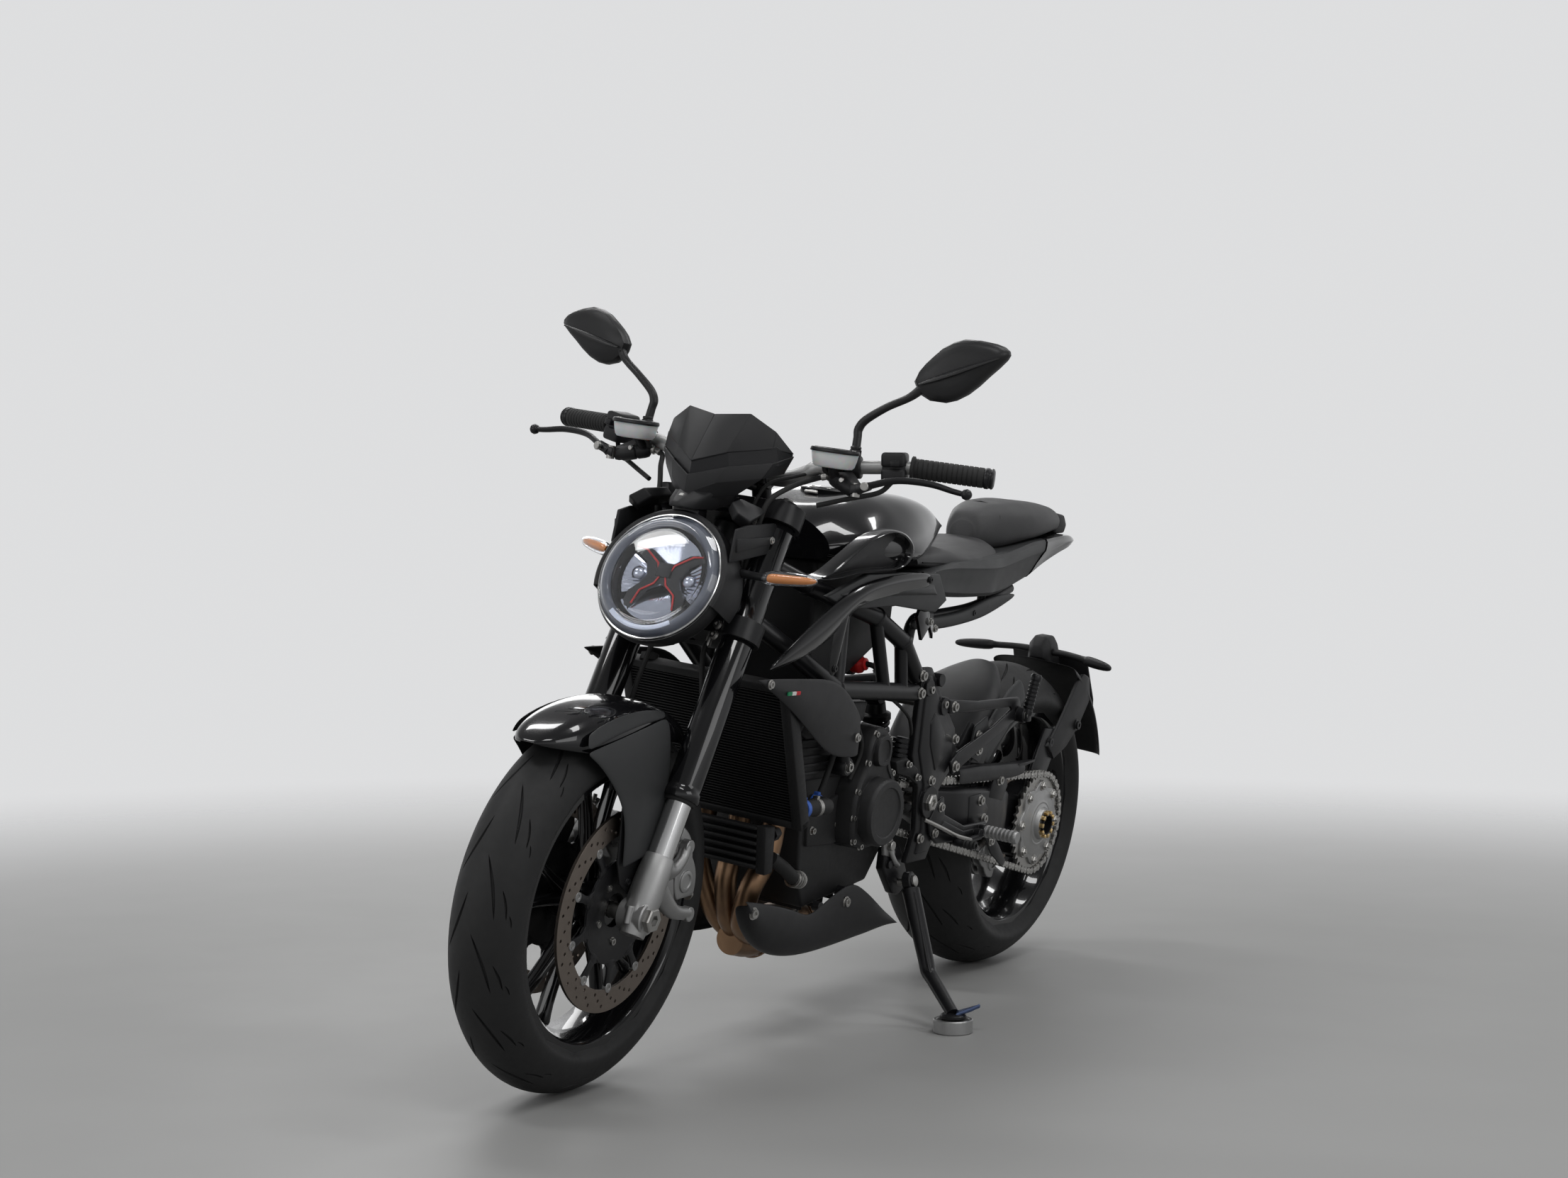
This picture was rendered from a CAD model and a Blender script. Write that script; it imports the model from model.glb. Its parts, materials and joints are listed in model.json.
"""A naked road motorcycle on its side stand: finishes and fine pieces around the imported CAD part."""

import json
import math

import bmesh
import bpy
import numpy as np
from mathutils import Matrix, Vector, noise
from mathutils.geometry import delaunay_2d_cdt

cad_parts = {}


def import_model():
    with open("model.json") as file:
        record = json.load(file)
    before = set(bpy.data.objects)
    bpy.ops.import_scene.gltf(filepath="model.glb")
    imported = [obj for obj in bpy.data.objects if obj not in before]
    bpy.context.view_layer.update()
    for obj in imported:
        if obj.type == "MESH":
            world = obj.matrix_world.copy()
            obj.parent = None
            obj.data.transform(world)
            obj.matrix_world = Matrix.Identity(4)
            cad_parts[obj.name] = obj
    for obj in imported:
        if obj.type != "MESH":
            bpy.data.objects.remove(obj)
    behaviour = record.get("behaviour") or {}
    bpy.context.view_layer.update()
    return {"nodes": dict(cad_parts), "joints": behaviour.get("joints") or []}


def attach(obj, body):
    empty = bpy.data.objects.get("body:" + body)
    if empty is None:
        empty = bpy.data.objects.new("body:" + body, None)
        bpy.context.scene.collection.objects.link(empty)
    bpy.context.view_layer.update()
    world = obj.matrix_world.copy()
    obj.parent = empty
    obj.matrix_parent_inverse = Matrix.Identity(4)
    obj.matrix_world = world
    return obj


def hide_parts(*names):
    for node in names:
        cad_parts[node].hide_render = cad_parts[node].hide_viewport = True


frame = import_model()
NODES = frame["nodes"]
JOINTS = {joint["name"]: joint for joint in frame["joints"]}


# Where things are. Pieces are drawn in millimetres on the upright machine:
# x to the rider's left, y to the rear, z up, with the axles where these two say.

FRONT_AXLE = Vector((0, -700, 300))
REAR_AXLE = Vector((0, 700, 316))
METRES = 0.001
PARKED_TURN = math.radians(2.3)


def machine_to_row():
    """The matrix from the upright machine to the row frame, read from the rear wheel's joint."""
    joint = JOINTS["rear_wheel_spin"]
    left = Vector(joint["axis"]).normalized()
    rear = (Vector((0, 1, 0)) - left * left.y).normalized()
    up = left.cross(rear)
    turn = Matrix((left, rear, up)).transposed().to_4x4()
    start = Vector(joint["pos_m"]) - turn @ Vector([METRES * c for c in REAR_AXLE])
    return Matrix.Translation(start) @ turn @ Matrix.Scale(METRES, 4)


def parked_turn():
    """The small turn to the left in which the steering is parked."""
    joint = JOINTS["steering_turn"]
    centre = Matrix.Translation(Vector(joint["pos_m"]))
    return centre @ Matrix.Rotation(PARKED_TURN, 4, Vector(joint["axis"])) @ centre.inverted()


MACHINE = machine_to_row()
FORK = parked_turn() @ MACHINE

# The matrix that places a piece and the body that it rides on
CHASSIS, FILLER_CAP = (MACHINE, "chassis"), (MACHINE, "filler_cap")
REAR_WHEEL, SIDE_STAND = (MACHINE, "rear_wheel"), (MACHINE, "side_stand")
STEERING, FRONT_WHEEL = (FORK, "steering"), (FORK, "front_wheel")


# Finishes

class Signal:
    """A node's output, on which Python's operators add Math nodes."""

    def __init__(self, finish, socket):
        self.finish = finish
        self.socket = socket

    def __add__(self, other):
        return self.finish.sum("ADD", self, other)

    def __mul__(self, other):
        return self.finish.sum("MULTIPLY", self, other)

    __radd__ = __add__
    __rmul__ = __mul__


class Finish:
    """One procedural material, built around a Principled shader."""

    def __init__(self, name, **constants):
        self.material = bpy.data.materials.new(name)
        self.material.use_nodes = True
        self.tree = self.material.node_tree
        self.tree.nodes.clear()
        self.shader = self.tree.nodes.new("ShaderNodeBsdfPrincipled")
        output = self.tree.nodes.new("ShaderNodeOutputMaterial")
        self.tree.links.new(self.shader.outputs[0], output.inputs["Surface"])
        self.paint(**constants)

    def feed(self, socket, value):
        """Link a signal to a socket, or set the socket to a plain value."""
        if isinstance(value, Signal):
            self.tree.links.new(value.socket, socket)
        elif isinstance(value, (tuple, list)) and socket.type == "RGBA":
            socket.default_value = (*value, 1.0)[:4]
        else:
            socket.default_value = value

    def paint(self, **inputs):
        """Set the shader's inputs, named in lower case with underscores."""
        for name, value in inputs.items():
            self.feed(self.shader.inputs[name.replace("_", " ").title().replace("Ior", "IOR")], value)

    def node(self, kind, output=0, settings=None, stops=None, **inputs):
        """Add a node: its settings first, then the values or links of its inputs, by name or by place as i0, i1."""
        made = self.tree.nodes.new("ShaderNode" + kind)
        for name, value in (settings or {}).items():
            setattr(made, name, value)
        if stops:
            ramp = made.color_ramp
            while len(ramp.elements) < len(stops):
                ramp.elements.new(0.5)
            for element, (place, colour) in zip(ramp.elements, stops):
                element.position = place
                element.color = (*colour, 1.0)
        sockets = {s.identifier: s for s in made.inputs}
        sockets.update({s.name: s for s in made.inputs if s.name not in sockets})
        for name, value in inputs.items():
            key = name.replace("_", " ") if name.replace("_", " ") in sockets else name
            self.feed(made.inputs[int(key[1:])] if key not in sockets else sockets[key], value)
        return Signal(self, made.outputs[output])

    def sum(self, operation, *values):
        """A Math node on signals and numbers."""
        return self.node("Math", settings={"operation": operation}, **{f"i{k}": v for k, v in enumerate(values)})

    def smooth(self, value, low, high):
        """0 below low, 1 above high, and a soft ramp between them."""
        return self.node("MapRange", settings={"interpolation_type": "SMOOTHSTEP"}, i0=value, i1=low, i2=high)

    def place(self):
        """The point on the piece, in metres in the row frame."""
        return self.node("TexCoord", output="Object")

    def grain(self, scale, detail=4.0, roughness=0.5):
        """Noise from 0 to 1."""
        return self.node("TexNoise", Vector=self.place(), Scale=scale, Detail=detail, Roughness=roughness)

    def cells(self, scale):
        """Distance to the nearest cell point."""
        return self.node("TexVoronoi", Vector=self.place(), Scale=scale)

    def axes(self):
        """The three coordinates of the point, as signals."""
        parts = self.node("SeparateXYZ", Vector=self.place()).socket.node
        return [Signal(self, s) for s in parts.outputs]

    def mix(self, share, first, second):
        """Two colours mixed by a share."""
        made = self.node("Mix", settings={"data_type": "RGBA"}, Factor_Float=share, A_Color=first, B_Color=second)
        return next(Signal(self, s) for s in made.socket.node.outputs if s.identifier == "Result_Color")

    def ramp(self, value, stops):
        """A colour ramp on a value."""
        return self.node("ValToRGB", stops=stops, Fac=value)

    def edged(self, radius):
        """The surface's direction, turned at edges as if they were rounded by a radius in metres."""
        return self.node("Bevel", settings={"samples": 4}, Radius=radius)

    def rounded(self, edge):
        """Edges that shade as if rounded."""
        self.paint(normal=self.edged(edge))

    def relief(self, height, depth, edge):
        """Bump of a depth in metres, over edges that shade as if rounded."""
        self.paint(normal=self.node("Bump", Height=height, Strength=1.0, Distance=depth, Normal=self.edged(edge)))

    def worn(self, colour, lighter, share=0.5, scale=14.0):
        """A base colour that wanders slightly towards a lighter one."""
        self.paint(base_color=self.mix(self.grain(scale, 5.0) * share, colour, lighter))

    def patchy(self, rough, spread, scale):
        """Roughness that wanders up from its lowest value."""
        self.paint(roughness=rough + spread * self.grain(scale))


def gloss_paint():
    f = Finish("gloss_paint", coat_weight=0.75, coat_roughness=0.02, specular_ior_level=0.12)
    f.worn((0.003, 0.003, 0.0035), (0.006, 0.006, 0.007), share=0.6, scale=9.0)
    f.patchy(0.16, 0.08, scale=30.0)
    f.relief(f.grain(260.0, detail=2.0), depth=0.00002, edge=0.0012)
    return f.material


def moulded(name, colour, lighter, rough, depth=0.00002):
    """Moulded plastic, grained to a depth in metres."""
    f = Finish(name, specular_ior_level=0.3)
    f.worn(colour, lighter)
    f.patchy(rough, 0.14, scale=40.0)
    f.relief(f.cells(1700.0), depth, edge=0.0011)
    return f.material


def frame_paint():
    f = Finish("frame_paint", specular_ior_level=0.3)
    f.worn((0.006, 0.006, 0.007), (0.012, 0.012, 0.013), share=0.7, scale=22.0)
    f.patchy(0.27, 0.14, scale=60.0)
    f.relief(f.grain(900.0, detail=3.0), depth=0.00006, edge=0.0012)
    return f.material


def casting(name, colour, lighter, metallic, rough):
    """Cast metal with a fine sandy skin."""
    f = Finish(name, metallic=metallic, specular_ior_level=0.35)
    f.worn(colour, lighter, share=0.8, scale=26.0)
    f.patchy(rough, 0.2, scale=120.0)
    f.relief(f.grain(1500.0, detail=4.0, roughness=0.7), depth=0.00016, edge=0.0014)
    return f.material


def machined(name, colour, lighter, rough):
    """Turned or ground metal."""
    f = Finish(name, metallic=1.0)
    f.worn(colour, lighter, share=0.6, scale=60.0)
    f.patchy(rough, 0.15, scale=300.0)
    f.rounded(0.0006)
    return f.material


def rubber(name, colour, rough):
    f = Finish(name, specular_ior_level=0.3)
    f.worn(colour, (0.022, 0.022, 0.022), share=0.6, scale=45.0)
    f.patchy(rough, 0.2, scale=80.0)
    f.relief(f.grain(1100.0, detail=3.0), depth=0.0001, edge=0.0008)
    return f.material


def clear(name, colour, rough=0.02):
    """Clear or tinted plastic, as lamp glasses have."""
    f = Finish(name, base_color=colour, transmission_weight=1.0, ior=1.46)
    f.patchy(rough, 0.01, scale=50.0)
    return f.material


def milky():
    """The reservoirs' cloudy plastic."""
    f = Finish("milky_plastic", subsurface_weight=0.6, subsurface_scale=0.01)
    f.paint(base_color=f.mix(f.grain(40.0), (0.52, 0.54, 0.54), (0.64, 0.66, 0.66)))
    f.patchy(0.3, 0.1, scale=100.0)
    f.rounded(0.0015)
    return f.material


def light_guide():
    """The lamp's pale ring, frosted and faintly blue."""
    f = Finish("light_guide", transmission_weight=0.35, ior=1.45, specular_ior_level=0.6)
    f.paint(base_color=f.mix(f.grain(26.0), (0.12, 0.135, 0.175), (0.19, 0.21, 0.26)))
    f.patchy(0.2, 0.08, scale=160.0)
    return f.material


def header_tint():
    """Steel that heat has turned brown in bands."""
    f = Finish("heated_header", metallic=1.0)
    f.paint(base_color=f.ramp(f.grain(9.0, detail=3.0), [(0.2, (0.13, 0.075, 0.045)), (0.5, (0.28, 0.175, 0.105)),
                                                         (0.8, (0.085, 0.06, 0.05))]))
    f.patchy(0.25, 0.25, scale=70.0)
    f.rounded(0.001)
    return f.material


def vinyl():
    """The seats' grained cover."""
    f = Finish("seat_vinyl")
    f.worn((0.022, 0.022, 0.023), (0.040, 0.040, 0.042), share=0.6, scale=18.0)
    f.patchy(0.46, 0.12, scale=35.0)
    f.relief(f.cells(950.0) + 0.4 * f.grain(2400.0), depth=0.00025, edge=0.001)
    return f.material


DEEP_GRAIN = 0.00012
FINISH = {
    "gloss": gloss_paint(),
    "satin": moulded("satin_plastic", (0.009, 0.009, 0.010), (0.018, 0.018, 0.019), 0.38, DEEP_GRAIN),
    "cover_grey": moulded("cover_grey", (0.024, 0.025, 0.026), (0.036, 0.037, 0.038), 0.36, DEEP_GRAIN),
    "frame": frame_paint(),
    "casing": casting("grey_casing", (0.014, 0.014, 0.0145), (0.028, 0.028, 0.029), 0.2, 0.38),
    "cooler": casting("cooler_black", (0.010, 0.010, 0.011), (0.02, 0.02, 0.02), 0.2, 0.45),
    "hose": rubber("hose_rubber", (0.012, 0.012, 0.012), 0.55),
    "tyre": rubber("tyre_rubber", (0.012, 0.012, 0.0125), 0.48),
    "steel": machined("bare_steel", (0.36, 0.355, 0.34), (0.50, 0.49, 0.475), 0.28),
    "disc": machined("brake_steel", (0.20, 0.17, 0.145), (0.30, 0.26, 0.23), 0.33),
    "silver": casting("cast_silver", (0.30, 0.30, 0.30), (0.42, 0.42, 0.415), 0.9, 0.32),
    "chrome": machined("polished_tube", (0.62, 0.62, 0.62), (0.70, 0.70, 0.70), 0.06),
    "header": header_tint(),
    "vinyl": vinyl(),
    "lens": clear("clear_lens", (0.97, 0.98, 1.0)),
    "red_lens": clear("red_lens", (0.35, 0.008, 0.01), 0.06),
    "milky": milky(),
    "lamp_black": moulded("lamp_black", (0.006, 0.006, 0.007), (0.012, 0.012, 0.014), 0.3, DEEP_GRAIN),
    "reflector": machined("lamp_reflector", (0.34, 0.36, 0.42), (0.48, 0.50, 0.57), 0.06),
    "light_guide": light_guide(),
    "lit_strip": moulded("lit_strip", (0.70, 0.76, 0.90), (0.80, 0.85, 0.96), 0.2),
    "red_trim": moulded("red_trim", (0.55, 0.02, 0.02), (0.62, 0.03, 0.03), 0.25),
    "stripe_green": moulded("stripe_green", (0.01, 0.20, 0.08), (0.015, 0.24, 0.10), 0.35),
    "stripe_white": moulded("stripe_white", (0.72, 0.72, 0.70), (0.78, 0.78, 0.76), 0.35),
    "stripe_red": moulded("stripe_red", (0.50, 0.02, 0.03), (0.58, 0.03, 0.04), 0.35),
    "blue_clip": moulded("blue_clip", (0.03, 0.10, 0.42), (0.05, 0.14, 0.50), 0.3),
    "gold": machined("hub_nut_gold", (0.62, 0.44, 0.20), (0.72, 0.54, 0.28), 0.25),
    "spring": moulded("spring_black", (0.02, 0.02, 0.022), (0.03, 0.03, 0.032), 0.3, DEEP_GRAIN),
    "blue_steel": machined("blued_steel", (0.10, 0.14, 0.26), (0.16, 0.20, 0.34), 0.35),
    "amber_core": moulded("amber_core", (0.62, 0.20, 0.03), (0.74, 0.28, 0.06), 0.25),
    "mirror_shell": moulded("mirror_shell", (0.010, 0.010, 0.0105), (0.018, 0.018, 0.019), 0.30, 0.00005),
}

# The record's material slot that each finish stands for
SLOTS = {
    "gloss": "gloss_black", "satin": "matt_black", "cover_grey": "matt_black", "frame": "black_metal",
    "casing": "engine_grey", "cooler": "cooler_black", "hose": "hose_rubber", "tyre": "tyre_rubber",
    "steel": "bare_steel", "disc": "disc_steel", "silver": "cast_silver", "chrome": "bare_steel",
    "header": "header_bronze", "vinyl": "seat_cover", "lens": "clear_lens", "red_lens": "red_lens",
    "milky": "milky_plastic", "mirror_shell": "mirror_shell", "light_guide": "clear_lens",
    "reflector": "clear_lens", "lamp_black": "matt_black", "spring": "matt_black", "gold": "bare_steel",
    "blue_steel": "bare_steel",
}


# Shapes: closed meshes in millimetres on the upright machine

class Shape:
    """Points and faces with one finish."""

    def __init__(self, points, faces, finish):
        self.points = [Vector(p) for p in points]
        self.faces = [tuple(f) for f in faces]
        self.finish = finish

    def moved(self, matrix):
        return Shape([matrix @ p for p in self.points], self.faces, self.finish)

    def mirrored(self):
        return Shape([(-p.x, p.y, p.z) for p in self.points], [f[::-1] for f in self.faces], self.finish)

    def mesh(self):
        made = bpy.data.meshes.new("shape")
        made.from_pydata(self.points, [], self.faces)
        return made


def both(shapes):
    """Shapes for the left side and their mirror images."""
    return shapes + [s.mirrored() for s in shapes]


def in_scene(name, data):
    """A new object in the scene for a mesh, a lamp or a camera."""
    made = bpy.data.objects.new(name, data)
    bpy.context.scene.collection.objects.link(made)
    return made


def evaluated_mesh(holder):
    """A holder's mesh after its modifiers; the holder itself is taken away."""
    graph = bpy.context.evaluated_depsgraph_get()
    mesh = bpy.data.meshes.new_from_object(holder.evaluated_get(graph))
    holder.modifiers.clear()
    bpy.data.objects.remove(holder)
    return mesh


def modified(shape, kind, **settings):
    """The shape after one modifier."""
    holder = in_scene("holder", shape.mesh())
    modifier = holder.modifiers.new(kind, kind)
    for name, value in settings.items():
        setattr(modifier, name, value)
    done = evaluated_mesh(holder)
    made = Shape([v.co for v in done.vertices], [tuple(p.vertices) for p in done.polygons], shape.finish)
    bpy.data.meshes.remove(done)
    return made


def softened(shape, levels=2):
    """Subdivision of a coarse cage."""
    return modified(shape, "SUBSURF", levels=levels, render_levels=levels)


def eased(shape, width=1.5, segments=2, angle=30):
    """Rounded edges, where faces meet at more than an angle in degrees."""
    return modified(shape, "BEVEL", width=width, segments=segments, limit_method="ANGLE",
                    angle_limit=math.radians(angle))


def thick(shape, thickness, offset=-1.0):
    """A wall from an open sheet."""
    return modified(shape, "SOLIDIFY", thickness=thickness, offset=offset)


def round_angles(count, shift=0):
    """Even angles round a circle, from a share of a step on."""
    return [2 * math.pi * (k + shift) / count for k in range(count)]


def spline(points, steps):
    """Points on a Catmull-Rom curve from the second given point up to the last but one, which is left out."""
    path = []
    for p0, p1, p2, p3 in zip(points, points[1:], points[2:], points[3:]):
        for k in range(steps):
            t = k / steps
            path.append(0.5 * ((2 * p1) + (p2 - p0) * t + (2 * p0 - 5 * p1 + 4 * p2 - p3) * t * t
                               + (3 * p1 - p0 - 3 * p2 + p3) * t ** 3))
    return path


def curve_through(points, steps):
    """An open curve through points."""
    pts = [Vector(p) for p in points]
    return spline([2 * pts[0] - pts[1]] + pts + [2 * pts[-1] - pts[-2]], steps) + [pts[-1]]


def closed_curve(points, steps):
    """A closed curve through points."""
    pts = [Vector(p) for p in points]
    return spline(pts[-1:] + pts + pts[:2], steps)


def sheet(rows, finish):
    """An open grid of points."""
    wide = len(rows[0])
    points = [p for row in rows for p in row]
    faces = [(i * wide + j, i * wide + j + 1, (i + 1) * wide + j + 1, (i + 1) * wide + j)
             for i in range(len(rows) - 1) for j in range(wide - 1)]
    return Shape(points, faces, finish)


def loft(rings, finish, caps=True, loop=False):
    """A skin over rings of points; loop joins the last ring to the first."""
    around = len(rings[0])
    points = [p for ring in rings for p in ring]
    count = len(rings) if loop else len(rings) - 1
    faces = []
    for i in range(count):
        a, b = i * around, ((i + 1) % len(rings)) * around
        faces += [(a + j, a + (j + 1) % around, b + (j + 1) % around, b + j) for j in range(around)]
    if caps and not loop:
        faces += [tuple(range(around))[::-1], tuple(range(len(points) - around, len(points)))]
    return Shape(points, faces, finish)


def prism(outline, low, high, finish, way="x"):
    """A flat outline given thickness. For way x the outline is (y, z); for z it is (x, y)."""
    def at(level):
        return [(level, a, b) if way == "x" else (a, b, level) for a, b in outline]
    return loft([at(low), at(high)], finish)


def plank(points, other, finish):
    """A panel between two matching outlines in space."""
    return loft([points, other], finish)


def flank_plate(points, depth, finish):
    """A panel on the left flank, its back a depth further in than its face."""
    face = [Vector(p) for p in points]
    return plank(face, [p - Vector((depth, 0, 0)) for p in face], finish)


def block(low, high, finish):
    return prism([(low[1], low[2]), (high[1], low[2]), (high[1], high[2]), (low[1], high[2])], low[0], high[0],
                 finish)


def lathe(profile, centre, finish, axis=(1, 0, 0), steps=96):
    """A turned piece: profile of (along, radius) about an axis through a centre."""
    turn = Matrix.Translation(Vector(centre)) @ Vector(axis).to_track_quat("Z", "Y").to_matrix().to_4x4()
    rings = [[turn @ Vector((r * math.cos(a), r * math.sin(a), h)) for h, r in profile] for a in round_angles(steps)]
    return loft(rings, finish, loop=True)


def disc(centre, radius, low, high, finish, axis=(1, 0, 0), steps=48):
    """A short solid cylinder with rims chamfered by a millimetre."""
    profile = [(low, 0), (low, radius - 1), (low + 1, radius), (high - 1, radius), (high, radius - 1), (high, 0)]
    return lathe(profile, centre, finish, axis, steps)


def pipe(points, radius, finish, sides=16, steps=6, flat=(1.0, 1.0), smooth=True):
    """A tube along a path; radius is a number or one for each given point."""
    path = curve_through(points, steps) if smooth else [Vector(p) for p in points]
    if isinstance(radius, (list, tuple)):
        spans = len(points) - 1
        radii = [float(np.interp(k / (len(path) - 1) * spans, range(len(points)), radius))
                 for k in range(len(path))]
    else:
        radii = [radius] * len(path)
    rings = []
    ahead = (path[1] - path[0]).normalized()
    side = ahead.orthogonal().normalized()
    for k, p in enumerate(path):
        now = (path[min(k + 1, len(path) - 1)] - path[max(k - 1, 0)]).normalized()
        side = (side - now * side.dot(now)).normalized()
        up = now.cross(side)
        rings.append([p + (side * math.cos(a) * flat[0] + up * math.sin(a) * flat[1]) * radii[k]
                      for a in round_angles(sides)])
    return loft(rings, finish)


def oblong(centre, high, wide):
    """A ring of points square to the machine's left: wide along it from front to rear, and high."""
    return [centre + Vector((0, -math.sin(a) * wide, math.cos(a) * high)) for a in round_angles(16)]


def round_copies(shapes, centre, count, start=0.0):
    """Shapes repeated round the x axis through a centre."""
    made = []
    for k in range(count):
        turn = Matrix.Translation(centre) @ Matrix.Rotation(start + 2 * math.pi * k / count, 4, Vector((1, 0, 0)))
        turn = turn @ Matrix.Translation(-centre)
        made += [s.moved(turn) for s in shapes]
    return made


def finished(name, mesh, mount, crease):
    """An object riding on its body, its mesh in place and shaded smooth except at creases."""
    matrix, body = mount
    mesh.transform(matrix)
    mesh.polygons.foreach_set("use_smooth", [True] * len(mesh.polygons))
    mesh.set_sharp_from_angle(angle=math.radians(crease))
    made = in_scene(name, mesh)
    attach(made, body)
    return made


def piece(name, shapes, mount, replaces=None, crease=38):
    """A finished piece with outward faces on its body, standing for the CAD node that it replaces."""
    points, faces, owners, finishes = [], [], [], []
    for shape in shapes:
        if shape.finish not in finishes:
            finishes.append(shape.finish)
        start = len(points)
        points += shape.points
        faces += [tuple(start + i for i in f) for f in shape.faces]
        owners += [finishes.index(shape.finish)] * len(shape.faces)
    mesh = bpy.data.meshes.new(name)
    mesh.from_pydata(points, [], faces)
    for finish in finishes:
        mesh.materials.append(FINISH[finish])
    mesh.polygons.foreach_set("material_index", owners)
    build = bmesh.new()
    build.from_mesh(mesh)
    bmesh.ops.remove_doubles(build, verts=build.verts, dist=0.001)
    bmesh.ops.dissolve_degenerate(build, edges=build.edges, dist=0.0005)
    bmesh.ops.recalc_face_normals(build, faces=build.faces)
    build.to_mesh(mesh)
    build.free()
    made = finished(name, mesh, mount, crease)
    finishes[0] in SLOTS
    if replaces:
        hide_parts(replaces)
    return made


# Geometry Nodes for what repeats

class Recipe:
    """A Geometry Nodes tree built in code, with named inputs."""

    def __init__(self, name, **sizes):
        self.tree = bpy.data.node_groups.new(name, "GeometryNodeTree")
        self.tree.interface.new_socket("Geometry", in_out="INPUT", socket_type="NodeSocketGeometry")
        self.tree.interface.new_socket("Geometry", in_out="OUTPUT", socket_type="NodeSocketGeometry")
        self.sizes = {}
        for size, value in sizes.items():
            kind = "NodeSocketInt" if isinstance(value, int) else "NodeSocketFloat"
            socket = self.tree.interface.new_socket(size, in_out="INPUT", socket_type=kind)
            socket.default_value = value
            self.sizes[size] = socket.identifier
        self.start = self.tree.nodes.new("NodeGroupInput")
        self.end = self.tree.nodes.new("NodeGroupOutput")

    def size(self, name):
        return self.start.outputs[name]

    def node(self, kind, settings=None, **inputs):
        """Add a node; inputs are sockets or values, by name with underscores or by place as i0, i1."""
        made = self.tree.nodes.new(kind)
        for name, value in (settings or {}).items():
            setattr(made, name, value)
        for name, value in inputs.items():
            socket = made.inputs[int(name[1:])] if name[1:].isdigit() else made.inputs[name.replace("_", " ")]
            if isinstance(value, bpy.types.NodeSocket):
                self.tree.links.new(value, socket)
            else:
                socket.default_value = value
        return made.outputs[0]

    def maths(self, operation, *values):
        return self.node("ShaderNodeMath", settings={"operation": operation},
                         **{f"i{k}": v for k, v in enumerate(values)})

    def times(self, value, factor):
        return self.maths("MULTIPLY", value, factor)

    def vector(self, **parts):
        """A vector from its X, Y and Z, 0 where none is given."""
        return self.node("ShaderNodeCombineXYZ", **parts)

    def placed(self, geometry, **place):
        """Geometry moved by a Translation and turned by a Rotation."""
        return self.node("GeometryNodeTransform", Geometry=geometry, **place)

    def cylinder(self, sides, radius, depth):
        return self.node("GeometryNodeMeshCylinder", Vertices=sides, Radius=radius, Depth=depth)

    def cut(self, body, tool):
        """A body with a tool's shape taken out of it."""
        return self.node("GeometryNodeMeshBoolean", settings={"operation": "DIFFERENCE"}, i0=body, i1=tool)

    def facing(self, axis, **settings):
        """The turn that brings an axis onto each point's own way."""
        way = self.node("GeometryNodeInputNamedAttribute", settings={"data_type": "FLOAT_VECTOR"}, Name="facing")
        return self.node("FunctionNodeAlignEulerToVector", settings={"axis": axis, **settings}, Vector=way)

    def joined(self, *geometries):
        made = self.tree.nodes.new("GeometryNodeJoinGeometry")
        for g in reversed(geometries):
            self.tree.links.new(g, made.inputs[0])
        return made.outputs[0]

    def on_points(self, source, copied, **turned):
        """Copies of some geometry on the points of a source."""
        points = self.node("GeometryNodeMeshToPoints", Mesh=source)
        return self.node("GeometryNodeInstanceOnPoints", Points=points, Instance=copied, **turned)

    def finish(self, geometry, finish):
        real = self.node("GeometryNodeRealizeInstances", Geometry=geometry)
        done = self.node("GeometryNodeSetMaterial", Geometry=real, Material=FINISH[finish])
        self.tree.links.new(done, self.end.inputs[0])


def grown(name, recipe, points, mount, facing=None, faces=(), replaces=None, **sizes):
    """The plain mesh that a recipe grows from points, each facing its own way."""
    seed = bpy.data.meshes.new(name)
    seed.from_pydata([Vector(p) for p in points], [], faces)
    if facing:
        ways = seed.attributes.new("facing", "FLOAT_VECTOR", "POINT")
        ways.data.foreach_set("vector", [c for v in facing for c in Vector(v).normalized()])
    holder = in_scene(name + "_seed", seed)
    modifier = holder.modifiers.new("recipe", "NODES")
    modifier.node_group = recipe.tree
    for size, value in sizes.items():
        modifier[recipe.sizes[size]] = value
    mesh = evaluated_mesh(holder)
    mesh.name = name
    made = finished(name, mesh, mount, 35)
    if replaces:
        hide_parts(replaces)


def screw_recipe(finish):
    """Socket-head screws: a head with a six-sided recess, on a thin washer."""
    r = Recipe("screws_" + finish, head=6.0, height=5.0)
    head, tall = r.size("head"), r.size("height")
    body = r.cylinder(20, head, tall)
    key = r.placed(r.cylinder(6, r.times(head, 0.52), tall), Translation=r.vector(Z=r.times(tall, 0.55)))
    raised = r.placed(r.cut(body, key), Translation=r.vector(Z=r.times(tall, 0.5)))
    washer = r.cylinder(20, r.times(head, 1.35), 1.0)
    r.finish(r.on_points(r.start.outputs[0], r.joined(raised, washer), Rotation=r.facing("Z")), finish)
    return r


SCREWS = {finish: screw_recipe(finish) for finish in ("steel", "frame")}


def screws(name, places, mount, finish="steel", head=5.0, height=4.0):
    """Screw heads at (point, facing) places."""
    grown(name, SCREWS[finish], [p for p, _ in places], mount, facing=[w for _, w in places], head=head,
          height=height)


def facing_left(points):
    """Places that face the rider's left."""
    return [(p, (1, 0, 0)) for p in points]


def mirrored_places(places):
    """Places on both sides of the machine."""
    def over(v):
        return (-v[0], v[1], v[2])
    return places + [(over(p), over(w)) for p, w in places]


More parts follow.
